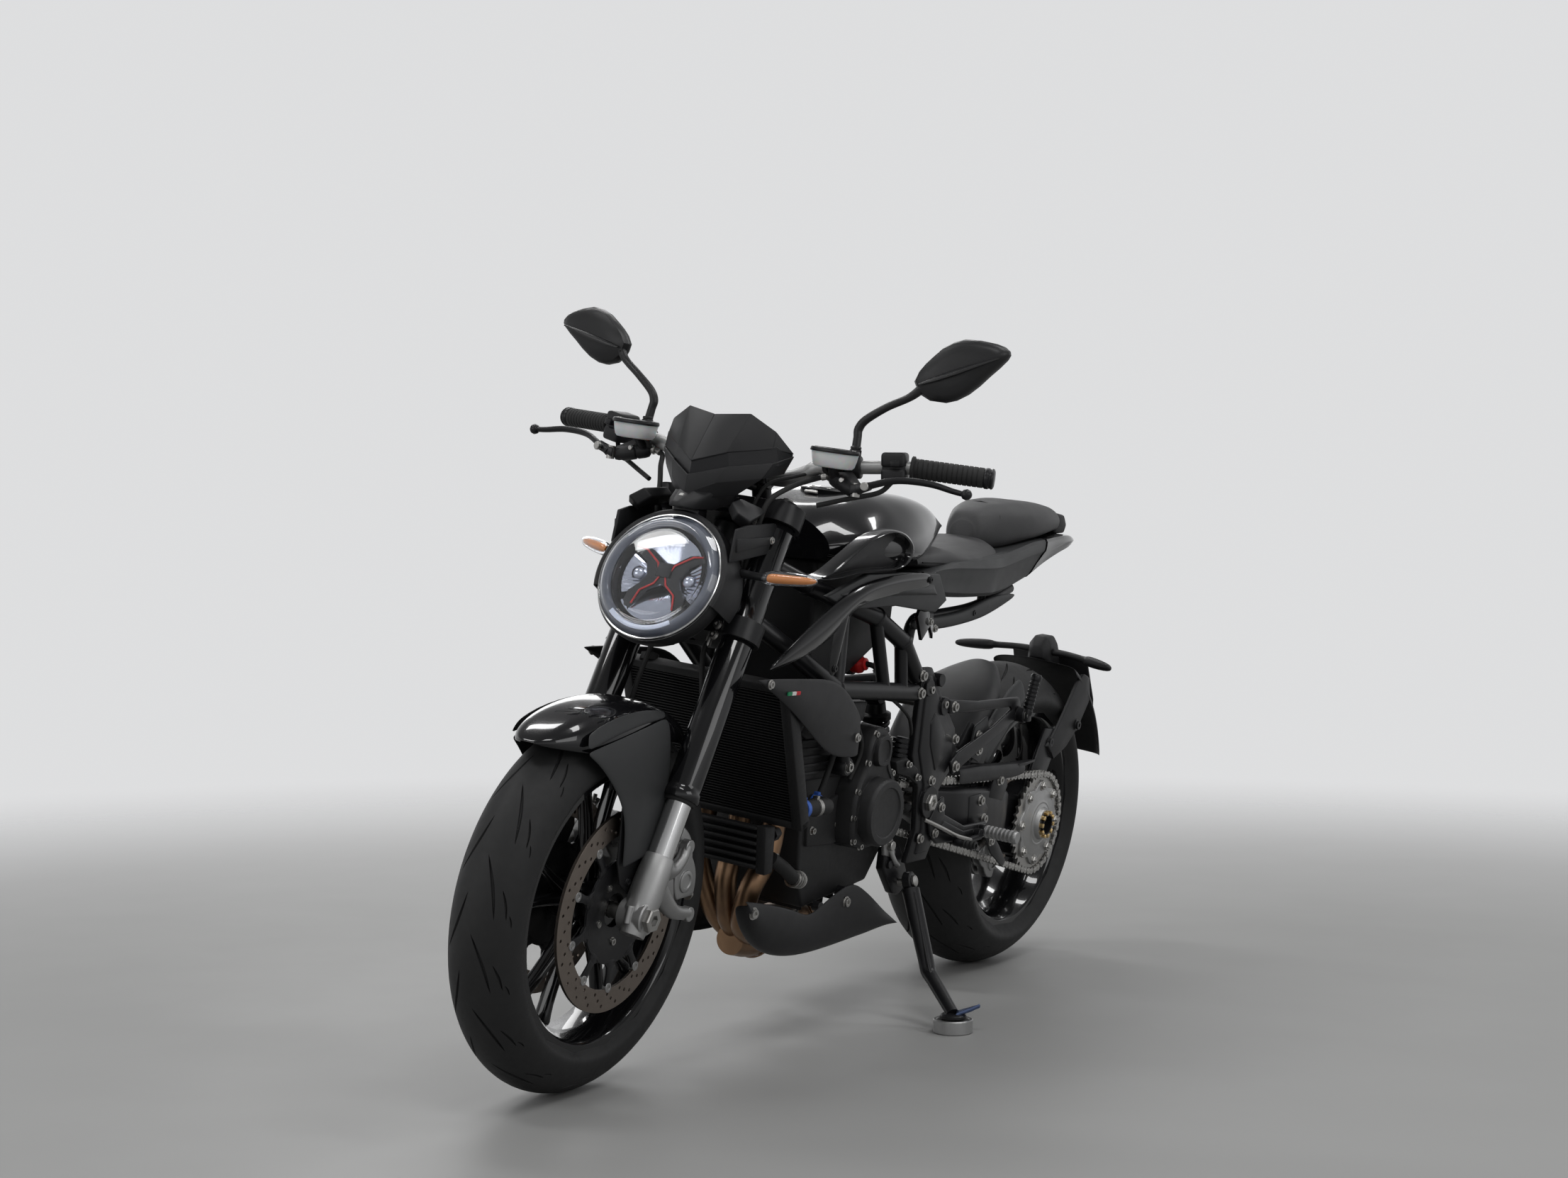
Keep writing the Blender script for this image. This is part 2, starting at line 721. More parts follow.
def both_flanks(points):
    """Places that face outwards on both sides of the machine."""
    return mirrored_places(facing_left(points))


# Wheels

BEAD_R = 225.5
PITCHES = 16                      # tread pitches round a tyre
SWEEP, SWEEP_END = 2.7, 62.0      # how far a pitch's border leans for each mm from the middle, and where it stops
COLUMNS, ROWS = 44, 14            # the tread's grid in one pitch
CLEAR = 4.2                       # grid points stay this far from a groove's edge


def tyre_profile(radius, half, crown, rim_half):
    """Points (x, radius) over one half of the outer skin, from the centre of the tread to the bead."""
    turn = math.asin(min(1.0, half / crown))
    steps = int(crown * turn / 2.0)
    line = [(crown * math.sin(turn * k / steps), radius - crown + crown * math.cos(turn * k / steps))
            for k in range(steps + 1)]
    shoulder = line[-1][1]
    foot = (rim_half - 0.3, BEAD_R)
    bulge = (max(half, foot[0]) + 1.5, (shoulder + foot[1]) / 2)
    for k in range(1, 13):
        t = k / 12
        line.append(((1 - t) ** 2 * half + 2 * t * (1 - t) * bulge[0] + t * t * foot[0],
                     (1 - t) ** 2 * shoulder + 2 * t * (1 - t) * bulge[1] + t * t * foot[1]))
    return line


def slash(start, end, width):
    """A lens-shaped groove in the unrolled tread: its edge and its floor."""
    a, b = Vector(start), Vector(end)
    ahead = (b - a).normalized()
    side = Vector((-ahead.y, ahead.x))
    bow = (b - a).length * 0.05
    edge, ground = [], []
    steps = 12
    for sign in (1, -1):
        for k in range(steps + 1):
            t = k / steps if sign > 0 else 1 - k / steps
            mid = a.lerp(b, t) + side * bow * math.sin(math.pi * t)
            half = width / 2 * math.sin(math.pi * t) ** 0.75
            if 0 < t < 1 or sign > 0:
                edge.append(mid + side * half * sign)
            if 0.08 < t < 0.92:
                ground.append(mid + side * half * 0.4 * sign)
    return edge, ground


def border(s):
    """How far round the tread a pitch's border lies, at s across it."""
    return SWEEP * min(abs(s), SWEEP_END)


def inside(p, ring):
    hit = False
    for a, b in zip(ring, ring[1:] + ring[:1]):
        if (a.y > p.y) != (b.y > p.y) and p.x < (b.x - a.x) * (p.y - a.y) / (b.y - a.y) + a.x:
            hit = not hit
    return hit


def tread_pitch(wide, pitch, cuts):
    """One pitch of the unrolled tread: its points, their depths and its faces."""
    across = [-wide + 2 * wide * k / COLUMNS for k in range(COLUMNS + 1)]
    points = [Vector((border(s) + start, s)) for start in (0.0, pitch) for s in across]
    grooves, edges = [], []
    for start, end, width, depth in cuts:
        for side, shift in ((1, 0.0), (-1, pitch / 2)):
            ends = [(a + shift, s * side) for a, s in (start, end)]
            back = math.floor((ends[0][0] - border(ends[0][1])) / pitch) * pitch
            grooves.append((*slash(*((a - back, s) for a, s in ends), width), depth))
    for edge, ground, _ in grooves:
        for ring in (edge, ground):
            first = len(points)
            points += ring
            edges += [(first + k, first + (k + 1) % len(ring)) for k in range(len(ring))]
    near = [p for edge, _, _ in grooves for p in edge]
    for j, s in enumerate(across[1:-1]):
        for k in range(1, ROWS):
            spot = Vector((border(s) + pitch * (k + 0.5 * (j % 2) - 0.25) / ROWS, s))
            if min((spot - q).length for q in near) > CLEAR:
                points.append(spot)
    count = len(across)
    edges += [(k, k + 1) for k in range(count - 1)] + [(count + k, count + k + 1) for k in range(count - 1)]
    edges += [(0, count), (count - 1, 2 * count - 1)]
    made = delaunay_2d_cdt(points, edges, [], 1, 1e-5)
    flat, faces = made[0], made[2]
    depths = []
    for p in flat:
        depth = 0.0
        for _, ground, deep in grooves:
            if min((p - q).length for q in ground) < 0.01 or inside(p, ground):
                depth = deep
        depths.append(depth)
    return flat, depths, faces


def tyre(name, axle, radius, half, crown, rim_half, cuts, mount, replaced):
    """A tyre whose tread is one unrolled pitch with its grooves, wrapped round the wheel."""
    line = tyre_profile(radius, half, crown, rim_half)
    run = [0.0]
    for p, q in zip(line, line[1:]):
        run.append(run[-1] + math.hypot(q[0] - p[0], q[1] - p[1]))
    wide = run[-1]
    pitch = 2 * math.pi * radius / PITCHES
    flat, depths, faces = tread_pitch(wide, pitch, cuts)
    outs, heights = zip(*line)

    def at(s):
        return float(np.interp(s, run, outs)), float(np.interp(s, run, heights))

    wrapped, skins = [], []
    for k in range(PITCHES):
        first = len(wrapped)
        for p, depth in zip(flat, depths):
            x, r = at(abs(p.y))
            next_x, next_r = at(min(abs(p.y) + 1, wide))
            ahead, drop = next_x - x, next_r - r
            size = math.hypot(ahead, drop) or 1.0
            x, r = x + depth * drop / size, r - depth * ahead / size
            turn = (p.x + k * pitch) / radius
            wrapped.append(axle + Vector((x if p.y > 0 else -x, -r * math.sin(turn), r * math.cos(turn))))
        skins += [tuple(first + i for i in f) for f in faces]
    foot_x, foot_r = line[-1]
    rings = []
    for k in range(PITCHES):
        turn = (border(wide) + k * pitch) / radius
        rings.append([axle + Vector((x, -r * math.sin(turn), r * math.cos(turn)))
                      for x, r in ((foot_x, foot_r), (foot_x - 6, 217), (6 - foot_x, 217), (-foot_x, foot_r))])
    ribs = [lathe([(x - 0.8, r), (x, r + 0.9), (x + 0.8, r), (x, r - 2)], axle, "tyre", steps=128)
            for x, r in ((foot_x + 1.2, foot_r + 7), (-foot_x - 1.2, foot_r + 7))]
    piece(name, [Shape(wrapped, skins, "tyre"), sheet(rings + [rings[0]], "tyre")] + ribs, mount, replaced,
          crease=32)


# Grooves as (start, end, width, depth), their ends as (round the tyre, from its middle)
FRONT_CUTS = [((4, 8), (98, 40), 5.4, 3.4), ((50, 44), (96, 58), 4.0, 3.0), ((88, 62), (108, 68), 2.8, 2.2)]
REAR_CUTS = [((4, 12), (110, 52), 6.2, 3.8), ((56, 58), (120, 82), 5.0, 3.4), ((132, 96), (160, 104), 3.0, 2.4)]


def rim_barrel(axle, half):
    """Rim well with rounded lips."""
    outer = [(half, 226), (half - 1.5, 227.4), (half - 4.6, 227), (half - 6, 217.5), (half - 16, 216.4),
             (half - 26, 206)]
    inner = [(half - 0.6, 214), (half - 5, 209.4), (half - 18, 207), (half - 29, 198.6)]
    profile = [(-x, r) for x, r in outer] + outer[::-1] + inner + [(-x, r) for x, r in reversed(inner)]
    return lathe(profile, axle, "gloss", steps=160)


def superellipse(angle, power):
    """Cosine and sine of an angle, swollen towards a rounded square as power falls."""
    return [math.copysign(abs(v) ** power, v) for v in (math.cos(angle), math.sin(angle))]


def spokes(axle, root, base_x, tip_x, wide, deep, swing):
    """Five pairs of spokes with rounded, tapering sections that broaden at hub and rim."""
    made = []
    reach = 200.0
    for pair in range(5):
        for lean_out in (-swing, swing):
            rings = []
            for t, spread, depth in ((0.0, 1.5, 1.25), (0.12, 1.12, 1.1), (0.35, 0.8, 0.92), (0.7, 0.62, 0.8),
                                     (0.9, 0.78, 0.85), (1.0, 1.25, 1.05)):
                r = root + (reach - root) * t
                lean = math.radians(lean_out) * (0.30 + 0.70 * t)
                centre = axle + Vector((base_x + (tip_x - base_x) * t, r * math.sin(lean), r * math.cos(lean)))
                along = Vector((0, math.cos(lean), -math.sin(lean)))
                rings.append([centre + along * (u * wide * spread / 2) + Vector((v * deep * depth / 2, 0, 0))
                              for u, v in (superellipse(a, 0.6) for a in round_angles(12))])
            arm = softened(loft(rings, "gloss"), 1)
            made += round_copies([arm], axle, 1, start=-2 * math.pi * pair / 5)
    return made


def front_wheel():
    tyre("front_tyre_skin", FRONT_AXLE, 300, 60, 60, 50, FRONT_CUTS, FRONT_WHEEL, "front_tyre")
    arms = spokes(FRONT_AXLE, 26, 0, 0, 21, 30, 13)
    hub = lathe([(-52, 13.2), (52, 13.2), (52, 29), (47, 32), (36, 33), (26, 40), (-26, 40), (-36, 33), (-47, 32),
                 (-52, 29)], FRONT_AXLE, "gloss")
    valve = pipe([FRONT_AXLE + Vector((0, 30, 202)), FRONT_AXLE + Vector((10, 28, 178))], 3, "frame", 10)
    piece("front_rim_casting", [rim_barrel(FRONT_AXLE, 50), hub, valve] + arms, FRONT_WHEEL, "front_rim")


def rear_wheel():
    tyre("rear_tyre_skin", REAR_AXLE, 316, 100, 110, 81.5, REAR_CUTS, REAR_WHEEL, "rear_tyre")
    arms = spokes(REAR_AXLE, 46, -58, -64, 27, 26, 12)
    hub = lathe([(-92, 20), (115, 20), (115, 60), (108.5, 62), (108.5, 28.5), (20, 28.5), (14, 46), (-40, 56),
                 (-62, 60), (-86, 56), (-92, 48)], REAR_AXLE, "gloss")
    piece("rear_rim_casting", [rim_barrel(REAR_AXLE, 81.5), hub] + arms, REAR_WHEEL, "rear_rim")


def drilled_recipe(finish):
    """A flat brake ring with three rows of drilled holes."""
    r = Recipe("drilled_ring_" + finish, holes=24, inner_row=132.0, row_step=9.0, drill=2.9)
    rows = []
    for row in range(3):
        radius = r.maths("ADD", r.size("inner_row"), r.times(r.size("row_step"), float(row)))
        ring = r.node("GeometryNodeMeshCircle", Vertices=r.size("holes"), Radius=radius)
        spin = r.vector(Z=r.maths("DIVIDE", math.pi * 2 * row / 3, r.size("holes")))
        rows.append(r.placed(ring, Rotation=spin))
    cuts = r.on_points(r.joined(*rows), r.cylinder(10, r.size("drill"), 30.0))
    cuts = r.node("GeometryNodeRealizeInstances", Geometry=cuts)
    r.finish(r.cut(r.start.outputs[0], cuts), finish)
    return r


DRILLED = drilled_recipe("disc")


def brake_ring(name, centre, inner, outer, mount, **sizes):
    """A drilled ring about a wheel's axle, drawn flat and then stood on the axle."""
    half = 2.5
    flat = lathe([(-half, inner), (half, inner), (half, outer), (-half, outer)], (0, 0, 0), "disc", (0, 0, 1), 128)
    stood = Matrix.Translation(centre) @ Matrix.Rotation(math.pi / 2, 4, "Y")
    matrix, body = mount
    grown(name, DRILLED, flat.points, (matrix @ stood, body), faces=flat.faces, **sizes)


def carrier(centre, side):
    """Black carrier with ten short arms and a dished middle."""
    x = 62.0 * side
    hub = lathe([(52.3 * side, 27), (58 * side, 27), (60 * side, 42), (64 * side, 58), (64 * side, 84),
                 (60 * side, 84), (60 * side, 62), (52.3 * side, 46)], centre, "frame")
    arm = eased(prism([(-9, 78), (9, 78), (6, 100), (8, 119), (-8, 119), (-6, 100)], x - 2.2, x + 2.2, "frame"), 1)
    web = eased(prism([(-17, 80), (17, 80), (8, 90), (-8, 90)], x - 2, x + 2, "frame"), 1)
    return [hub] + round_copies([s.moved(Matrix.Translation(centre)) for s in (arm, web)], centre, 10)


def front_discs():
    shapes = []
    for side, word in ((1, "left"), (-1, "right")):
        centre = FRONT_AXLE + Vector((62 * side, 0, 0))
        brake_ring("front_brake_ring_" + word, centre, 124, 160, FRONT_WHEEL)
        shapes += carrier(FRONT_AXLE, side)
        for a in round_angles(10):
            spot = centre + Vector((0, 122 * math.sin(a), 122 * math.cos(a)))
            shapes.append(lathe([(-3.4, 3.5), (-3.4, 7.6), (3.4, 7.6), (3.4, 3.5)], spot, "silver", steps=20))
            shapes.append(lathe([(-2.6, 0), (-2.6, 3.6), (2.6, 3.6), (2.6, 0)], spot, "steel", steps=6))
    piece("front_disc_carriers", shapes, FRONT_WHEEL, "front_discs")
    heads = [(FRONT_AXLE + Vector((60.5, 49 * math.sin(a), 49 * math.cos(a))), (1, 0, 0))
             for a in round_angles(5, 0.5)]
    screws("front_carrier_screws", mirrored_places(heads), FRONT_WHEEL, head=5.4, height=4.5)


front_wheel()
rear_wheel()
front_discs()
brake_ring("rear_brake_ring", REAR_AXLE + Vector((34, 0, 0)), 56, 110, REAR_WHEEL, holes=22, inner_row=78.0,
           row_step=10.0, drill=3.2)
piece("rear_disc_carrier", [lathe([(31.8, 28.4), (36.2, 28.4), (36.2, 57), (31.8, 57)], REAR_AXLE, "frame")],
      REAR_WHEEL, "rear_disc")


# Fork, brakes and mudguard

RAKE = math.radians(24.5)
LEG = Vector((0, math.sin(RAKE), math.cos(RAKE)))
LEG_FRONT = Vector((0, -0.91, 0.4147))


def leg_point(x, z, ahead=0.0):
    """A point on a fork leg's centre line, moved square off its front."""
    return Vector((x, FRONT_AXLE.y + (z - FRONT_AXLE.z) * math.tan(RAKE), z)) + LEG_FRONT * ahead


def along_leg(profile, z, finish, steps=64):
    """A piece turned about the left leg: profile of (distance up the leg, radius)."""
    return lathe(profile, leg_point(102, z), finish, LEG, steps)


def fork():
    tube = along_leg([(0, 21.9), (0, 29), (2, 30.4), (14, 30.4), (17, 28.4), (24, 28), (506, 28), (508, 26.5),
                      (508, 21.9)], 475, "gloss")
    seal = along_leg([(-5, 21.6), (-5, 25), (-3, 26.2), (0.5, 26.2), (0.5, 21.6)], 475, "hose")
    cap = along_leg([(508, 0), (508, 26), (513, 25), (514, 21), (519, 20), (519, 0)], 475, "frame")
    nut = along_leg([(519, 0), (519, 10), (526, 9), (526, 0)], 475, "steel", 6)
    piece("fork_outer_tubes", both([tube, seal, cap, nut]), STEERING, "fork_tubes")
    stanchion = along_leg([(0, 0), (0, 21.3), (210, 21.3), (210, 0)], 362, "chrome")
    sleeve = along_leg([(-64, 0), (-64, 20), (-30, 25), (0, 27), (34, 26.5), (62, 24.6), (66, 23), (66, 0)], 330,
                       "silver")
    eye = lathe([(-26, 13.4), (-26, 24), (-24, 26), (18, 26), (20, 24), (20, 13.4)], leg_point(102, 300), "silver",
                steps=48)
    clamp = eased(prism([(-726, 290), (-676, 288), (-670, 330), (-700, 350), (-722, 318)], 88, 112, "silver"), 5, 3)
    upper = pipe([leg_point(103, 372), (104, -626, 362), (105, -598, 378), (104, -586, 398)], [22, 15, 12, 12],
                 "silver", 14, flat=(1, 0.8))
    lower = pipe([leg_point(103, 352), (104, -640, 322), (105, -604, 296), (104, -560, 286)], [22, 16, 13, 12],
                 "silver", 14, flat=(1, 0.8))
    web = eased(prism([(-668, 346), (-640, 330), (-612, 318), (-622, 358), (-640, 372)], 97, 110, "silver"), 2)
    ends = [disc((104, y, z), 12, -6, 9, "silver", steps=24) for y, z in ((-586, 398), (-560, 286))]
    pinch = [disc((100, -724, 306), 6, -14, 14, "silver", (0, 0.2, 1), 20),
             disc((112, -712, 288), 5, -4, 5, "steel", (0, -1, 0), 16)]
    piece("fork_feet_castings", both([stanchion, sleeve, eye, clamp, upper, lower, web] + ends + pinch), STEERING,
          "fork_feet")
    spindle = lathe([(-124, 9), (-124, 12.2), (124, 12.2), (124, 9)], leg_point(0, 300), "steel", steps=40)
    nut = lathe([(122, 9.4), (122, 19), (125, 20), (131, 20), (133, 18), (133, 9.4)], leg_point(0, 300), "steel",
                steps=6)
    ring = lathe([(118, 12.8), (118, 17), (124, 17), (124, 12.8)], leg_point(0, 300), "steel", steps=30)
    piece("front_spindle", both([nut, ring]) + [spindle], STEERING, "front_axle")


def polar(radius, angle, x, centre=FRONT_AXLE):
    """A point round a wheel: angle in degrees from straight back towards the top."""
    a = math.radians(angle)
    return Vector((x, centre.y + radius * math.cos(a), centre.z + radius * math.sin(a)))


def caliper_half(low, high, outer, centre=FRONT_AXLE, start=3, mid_r=143):
    """One half of a caliper: a body with a lobe round each of two pistons."""
    sweep, steps = 44, 24
    outline = []
    for side, radius, turn in ((1, mid_r + 33, range(steps + 1)), (-1, mid_r - 22, range(steps, -1, -1))):
        for k in turn:
            t = k / steps
            lobe = 6 * abs(math.sin(2 * math.pi * t)) - 2
            outline.append(polar(radius + side * lobe, start + sweep * t, 0, centre))
    shapes = [eased(prism([(p.y, p.z) for p in outline], low, high, "silver"), 3.5, 3, 40)]
    way = 1 if outer > (low + high) / 2 else -1
    piston = [(way * x, r) for x, r in ((-3, 0), (-3, 19), (2.5, 18), (3.5, 15), (3.5, 12), (1.5, 11), (1.5, 0))]
    for t in (0.25, 0.75):
        shapes.append(lathe(piston, polar(mid_r + 4, start + sweep * t, outer, centre), "silver", steps=36))
    return shapes


def caliper_bridges(inner_r, outer_r, angles, low, high, ease, centre=FRONT_AXLE):
    """The short bars over the disc that join a caliper's halves."""
    made = []
    for a in angles:
        corners = [polar(r, a + side, 0, centre) for side, ends in ((-4, (inner_r, outer_r)), (4, (outer_r, inner_r)))
                   for r in ends]
        made.append(eased(prism([(p.y, p.z) for p in corners], low, high, "silver"), ease))
    return made


def front_calipers():
    shapes = caliper_half(66.5, 94, 94) + caliper_half(30, 57.5, 30)
    shapes += caliper_bridges(166, 180, (6, 25, 44), 50, 74, 1.5)
    shapes += [disc(polar(168, a, 62), 3, -30, 30, "steel", steps=14) for a in (14, 36)]
    nipple = pipe([polar(176, 47, 84), polar(190, 49, 84)], [5, 3.4], "steel", 10, smooth=False)
    piece("front_calipers_bodies", both(shapes + [nipple]), STEERING, "front_calipers")
    heads = [(polar(178, a, 80), polar(1, a, 0) - FRONT_AXLE) for a in (2, 46)]
    screws("front_caliper_screws", mirrored_places(heads), STEERING, head=6.5, height=8)


def mudguard():
    stations = [(-906, 16, 570, 565), (-896, 34, 579, 564), (-875, 49, 592, 562), (-845, 62, 605, 558),
                (-812, 69, 615, 556), (-775, 72, 622.5, 562), (-735, 73, 627, 570), (-690, 73, 628, 572),
                (-645, 72, 622.5, 566), (-600, 70, 611, 558), (-568, 67, 596, 545)]
    rows = []
    for y, w, top, low in stations:
        row = []
        for k in range(13):
            u = -1 + k / 6
            x = w * math.copysign(math.sin(abs(u) * math.pi / 2) ** 0.92, u)
            row.append((x, y + 6 * abs(u) ** 3, top - (top - low) * abs(u) ** 2.6))
        rows.append(row)
    beak = softened(thick(sheet(rows, "gloss"), 3.0), 2)
    edge = [((67, -852, 560), (71, -640, 604)), ((73, -826, 546), (76, -634, 584)),
            ((77, -800, 524), (79, -631, 552)), ((79, -772, 498), (81, -630, 516)),
            ((81, -748, 466), (82, -632, 478)), ((82, -738, 430), (82, -637, 440)),
            ((82, -734, 384), (82, -646, 402)), ((82, -733, 376), (82, -652, 396))]
    rows = []
    for front, rear in edge:
        a, b = Vector(front), Vector(rear)
        rows.append([a.lerp(b, t) + Vector((2.5 * math.sin(math.pi * t), 0, 0))
                     for t in (0, 0.12, 0.35, 0.65, 0.88, 1)])
    wing = softened(thick(sheet(rows, "cover_grey"), 3.2), 2)
    top_rows = []
    for u in (0.0, 0.33, 0.66, 1.0):
        lift = 9.0 * (1 - u) * math.sin(math.pi * u / 2)
        top_rows.append([Vector((64 + 9 * u, y, z + lift)) for y, z in
                         ((-852 + 10 * (1 - u), 562 + 26 * (1 - u)), (-800, 578 + 26 * (1 - u)),
                          (-740, 590 + 24 * (1 - u)), (-690, 598 + 20 * (1 - u)), (-640, 602 + 10 * (1 - u)))])
    shoulder = softened(thick(sheet(top_rows, "cover_grey"), 2.5, 1.0), 1)
    bracket = eased(prism([(-742, 470), (-650, 470), (-640, 400), (-668, 350), (-700, 330), (-724, 348),
                           (-738, 384)], 74, 77.5, "satin"), 1)
    piece("front_mudguard_shell", [beak] + both([wing, bracket]), STEERING, "front_mudguard")
    piece("front_mudguard_shoulders", both([shoulder]), STEERING)
    screws("front_mudguard_screws", both_flanks([(83, -657, 411), (78, -704, 350)]), STEERING, "frame", head=5.5,
           height=3)


def clamps():
    """Screws on the fork clamps."""
    places = [(leg_point(102, z) + LEG * step + Vector((-26, -27.5, 12.5)), (-0.25, -0.88, 0.4))
              for z, step in ((726, -9), (726, 9), (912, -9))]
    screws("clamp_screws", mirrored_places(places), STEERING, head=6.2, height=5)


fork()
front_calipers()
mudguard()
clamps()


# The lamp: drawn about its own face, x left, y up the face, z out of it

LAMP = FORK @ Matrix(((1, 0, 0, 0), (0, math.sin(RAKE), -math.cos(RAKE), -600),
                      (0, math.cos(RAKE), math.sin(RAKE), 813), (0, 0, 0, 1)))


def lamp_ring(profile, finish, steps=128):
    """A ring or bowl about the lamp's own axis: profile of (outwards, radius)."""
    return lathe(profile, (0, 0, 0), finish, (0, 0, 1), steps)


def arc_band(inner, outer, start, end, low, high, finish):
    """Part of a flat ring, angles in degrees from the left towards the top."""
    outline, steps = [], 24
    for r, turn in ((outer, range(steps + 1)), (inner, range(steps, -1, -1))):
        for k in turn:
            a = math.radians(start + (end - start) * k / steps)
            outline.append((r * math.cos(a), r * math.sin(a)))
    return prism(outline, low, high, finish, "z")


def strip(points, width, low, high, finish):
    """A flat ribbon along a bent line, of even width."""
    pts = [Vector((p[0], p[1], 0)) for p in points]
    left, right = [], []
    for k, p in enumerate(pts):
        ahead = (pts[min(k + 1, len(pts) - 1)] - pts[max(k - 1, 0)]).normalized()
        side = Vector((-ahead.y, ahead.x, 0)) * width / 2
        left.append((p.x + side.x, p.y + side.y))
        right.append((p.x - side.x, p.y - side.y))
    return eased(prism(left + right[::-1], low, high, finish, "z"), 0.5, 1)


def fan(radius, start, end, depth, finish, flutes=14):
    """A fluted reflector dish in one sector of the lamp."""
    rows = []
    for i in range(9):
        t = i / 8
        row = []
        for k in range(flutes * 2 + 1):
            a = math.radians(start + (end - start) * k / (flutes * 2))
            r = 12 + (radius - 12) * t
            z = -depth * (1 - t ** 1.6) - 10 + (1.6 if k % 2 else 0) * t
            row.append((r * math.cos(a), r * math.sin(a), z))
        rows.append(row)
    return thick(sheet(rows, finish), 1.2)


def headlight():
    bowl = lamp_ring([(-84, 0), (-84, 55), (-78, 66), (-58, 92), (-34, 106), (-16, 111), (-4, 112), (0, 110),
                      (-3, 107), (-20, 104), (-40, 90), (-60, 60), (-60, 0)], "satin")
    rows = []
    for k in range(41):
        a = math.radians(-17 + 214 * k / 40)
        side = max(0.0, math.cos(a) ** 2 - 0.25) / 0.75
        rows.append([(r * math.cos(a), r * math.sin(a), z) for z, r in
                     ((3.5, 109), (4, 114), (1, 117.5), (-20, 119.5), (-46 - 22 * side, 117.5 - 3 * side),
                      (-50 - 22 * side, 113))])
    shell = thick(sheet(rows, "satin"), 3)
    rim = lamp_ring([(-2, 108.4), (3, 108.6), (4.6, 107.2), (4.2, 105.4), (-1, 105), (-3, 106)], "chrome")
    bezel = lamp_ring([(-13, 77), (2, 81), (3.6, 82.4), (2.4, 84), (-2, 84.6), (-15, 79)], "gloss")
    back = lamp_ring([(-40, 0), (-38, 60), (-18, 79), (-20, 81), (-44, 62), (-46, 0)], "lamp_black")
    pieces = [bowl, shell, rim, bezel, back]
    pieces += [fan(76, 38, 142, 18, "reflector"), fan(76, 218, 322, 18, "reflector", 12),
               fan(72, -26, 30, 12, "reflector", 9), fan(72, 152, 208, 12, "reflector", 9)]
    outline = [(78, 42), (62, 52), (36, 46), (12, 28), (-12, 28), (-36, 46), (-62, 52), (-78, 42), (-60, 36),
               (-40, 26), (-30, 3), (-38, -12), (-54, -28), (-58, -54), (-44, -66), (-36, -46), (-22, -20), (0, -8),
               (22, -20), (36, -46), (44, -66), (58, -54), (54, -28), (38, -12), (30, 3), (40, 26), (60, 36)]
    core = eased(prism(outline, -16, -9, "gloss", "z"), 0.8, 1)
    hub = eased(block((-13, 2, -10), (13, 26, -5), "lamp_black"), 1.5)
    red = strip([(65, 47), (44, 44), (16, 25), (6, 2), (11, -10), (32, -25), (39, -50)], 3.0, -9, -6.5, "red_trim")
    pieces += [core, hub] + both([red])
    for x in (48, -48):
        pieces.append(lamp_ring([(-16, 0), (-15, 9), (-9, 11), (-7, 9), (-5, 5), (-4, 0)], "reflector", 24).moved(
            Matrix.Translation((x, 4, 0))))
    plate = eased(prism([(-452, 916), (-440, 902), (-452, 868), (-580, 852), (-572, 905), (-540, 912)], 108, 114,
                        "satin"), 2)
    ridge = eased(prism([(-452, 896), (-456, 884), (-570, 868), (-572, 890)], 113, 117, "satin"), 1.5)
    lower = pipe([leg_point(98, 758, 20), (92, -520, 800), (78, -545, 815)], 7, "frame", 12)
    cover = [(104, -470, 936), (112, -500, 930), (116, -540, 918), (104, -560, 930), (84, -548, 946), (70, -500, 950)]
    brow = eased(plank(cover, [(x * 0.86, y + 8, z - 14) for x, y, z in cover], "satin"), 3, 3)
    neck = eased(block((-24, -548, 886), (24, -520, 926), "frame"), 3)
    in_place = [s.moved(FORK.inverted() @ LAMP) for s in pieces]
    piece("headlight_housing", in_place + both([plate, ridge, lower, brow]) + [neck], STEERING, "headlight")
    dome = lamp_ring([(2.6, 107.4), (5, 104), (13, 99), (17, 93), (18, 88), (16, 84), (14.5, 80), (16, 70),
                      (20, 40), (21.5, 0), (19.5, 0), (18, 40), (14, 70), (12.2, 80), (13, 84), (14.6, 88),
                      (13.6, 93), (10, 98), (3, 101.5), (1, 103.5)], "lens")
    guide = lamp_ring([(0, 85.5), (5, 84.5), (9, 87), (11, 92), (9.5, 98), (5, 102.5), (0, 103.5)], "light_guide")
    piece("headlight_glass", [dome], (LAMP, "steering"), "headlight_lens")
    glow = arc_band(88, 95, 232, 306, 8, 11.7, "lit_strip")
    piece("headlight_guide", [guide, glow], (LAMP, "steering"))
    screws("headlight_screws", both_flanks([(117.5, -466, 889)]), STEERING, head=4.5, height=3)


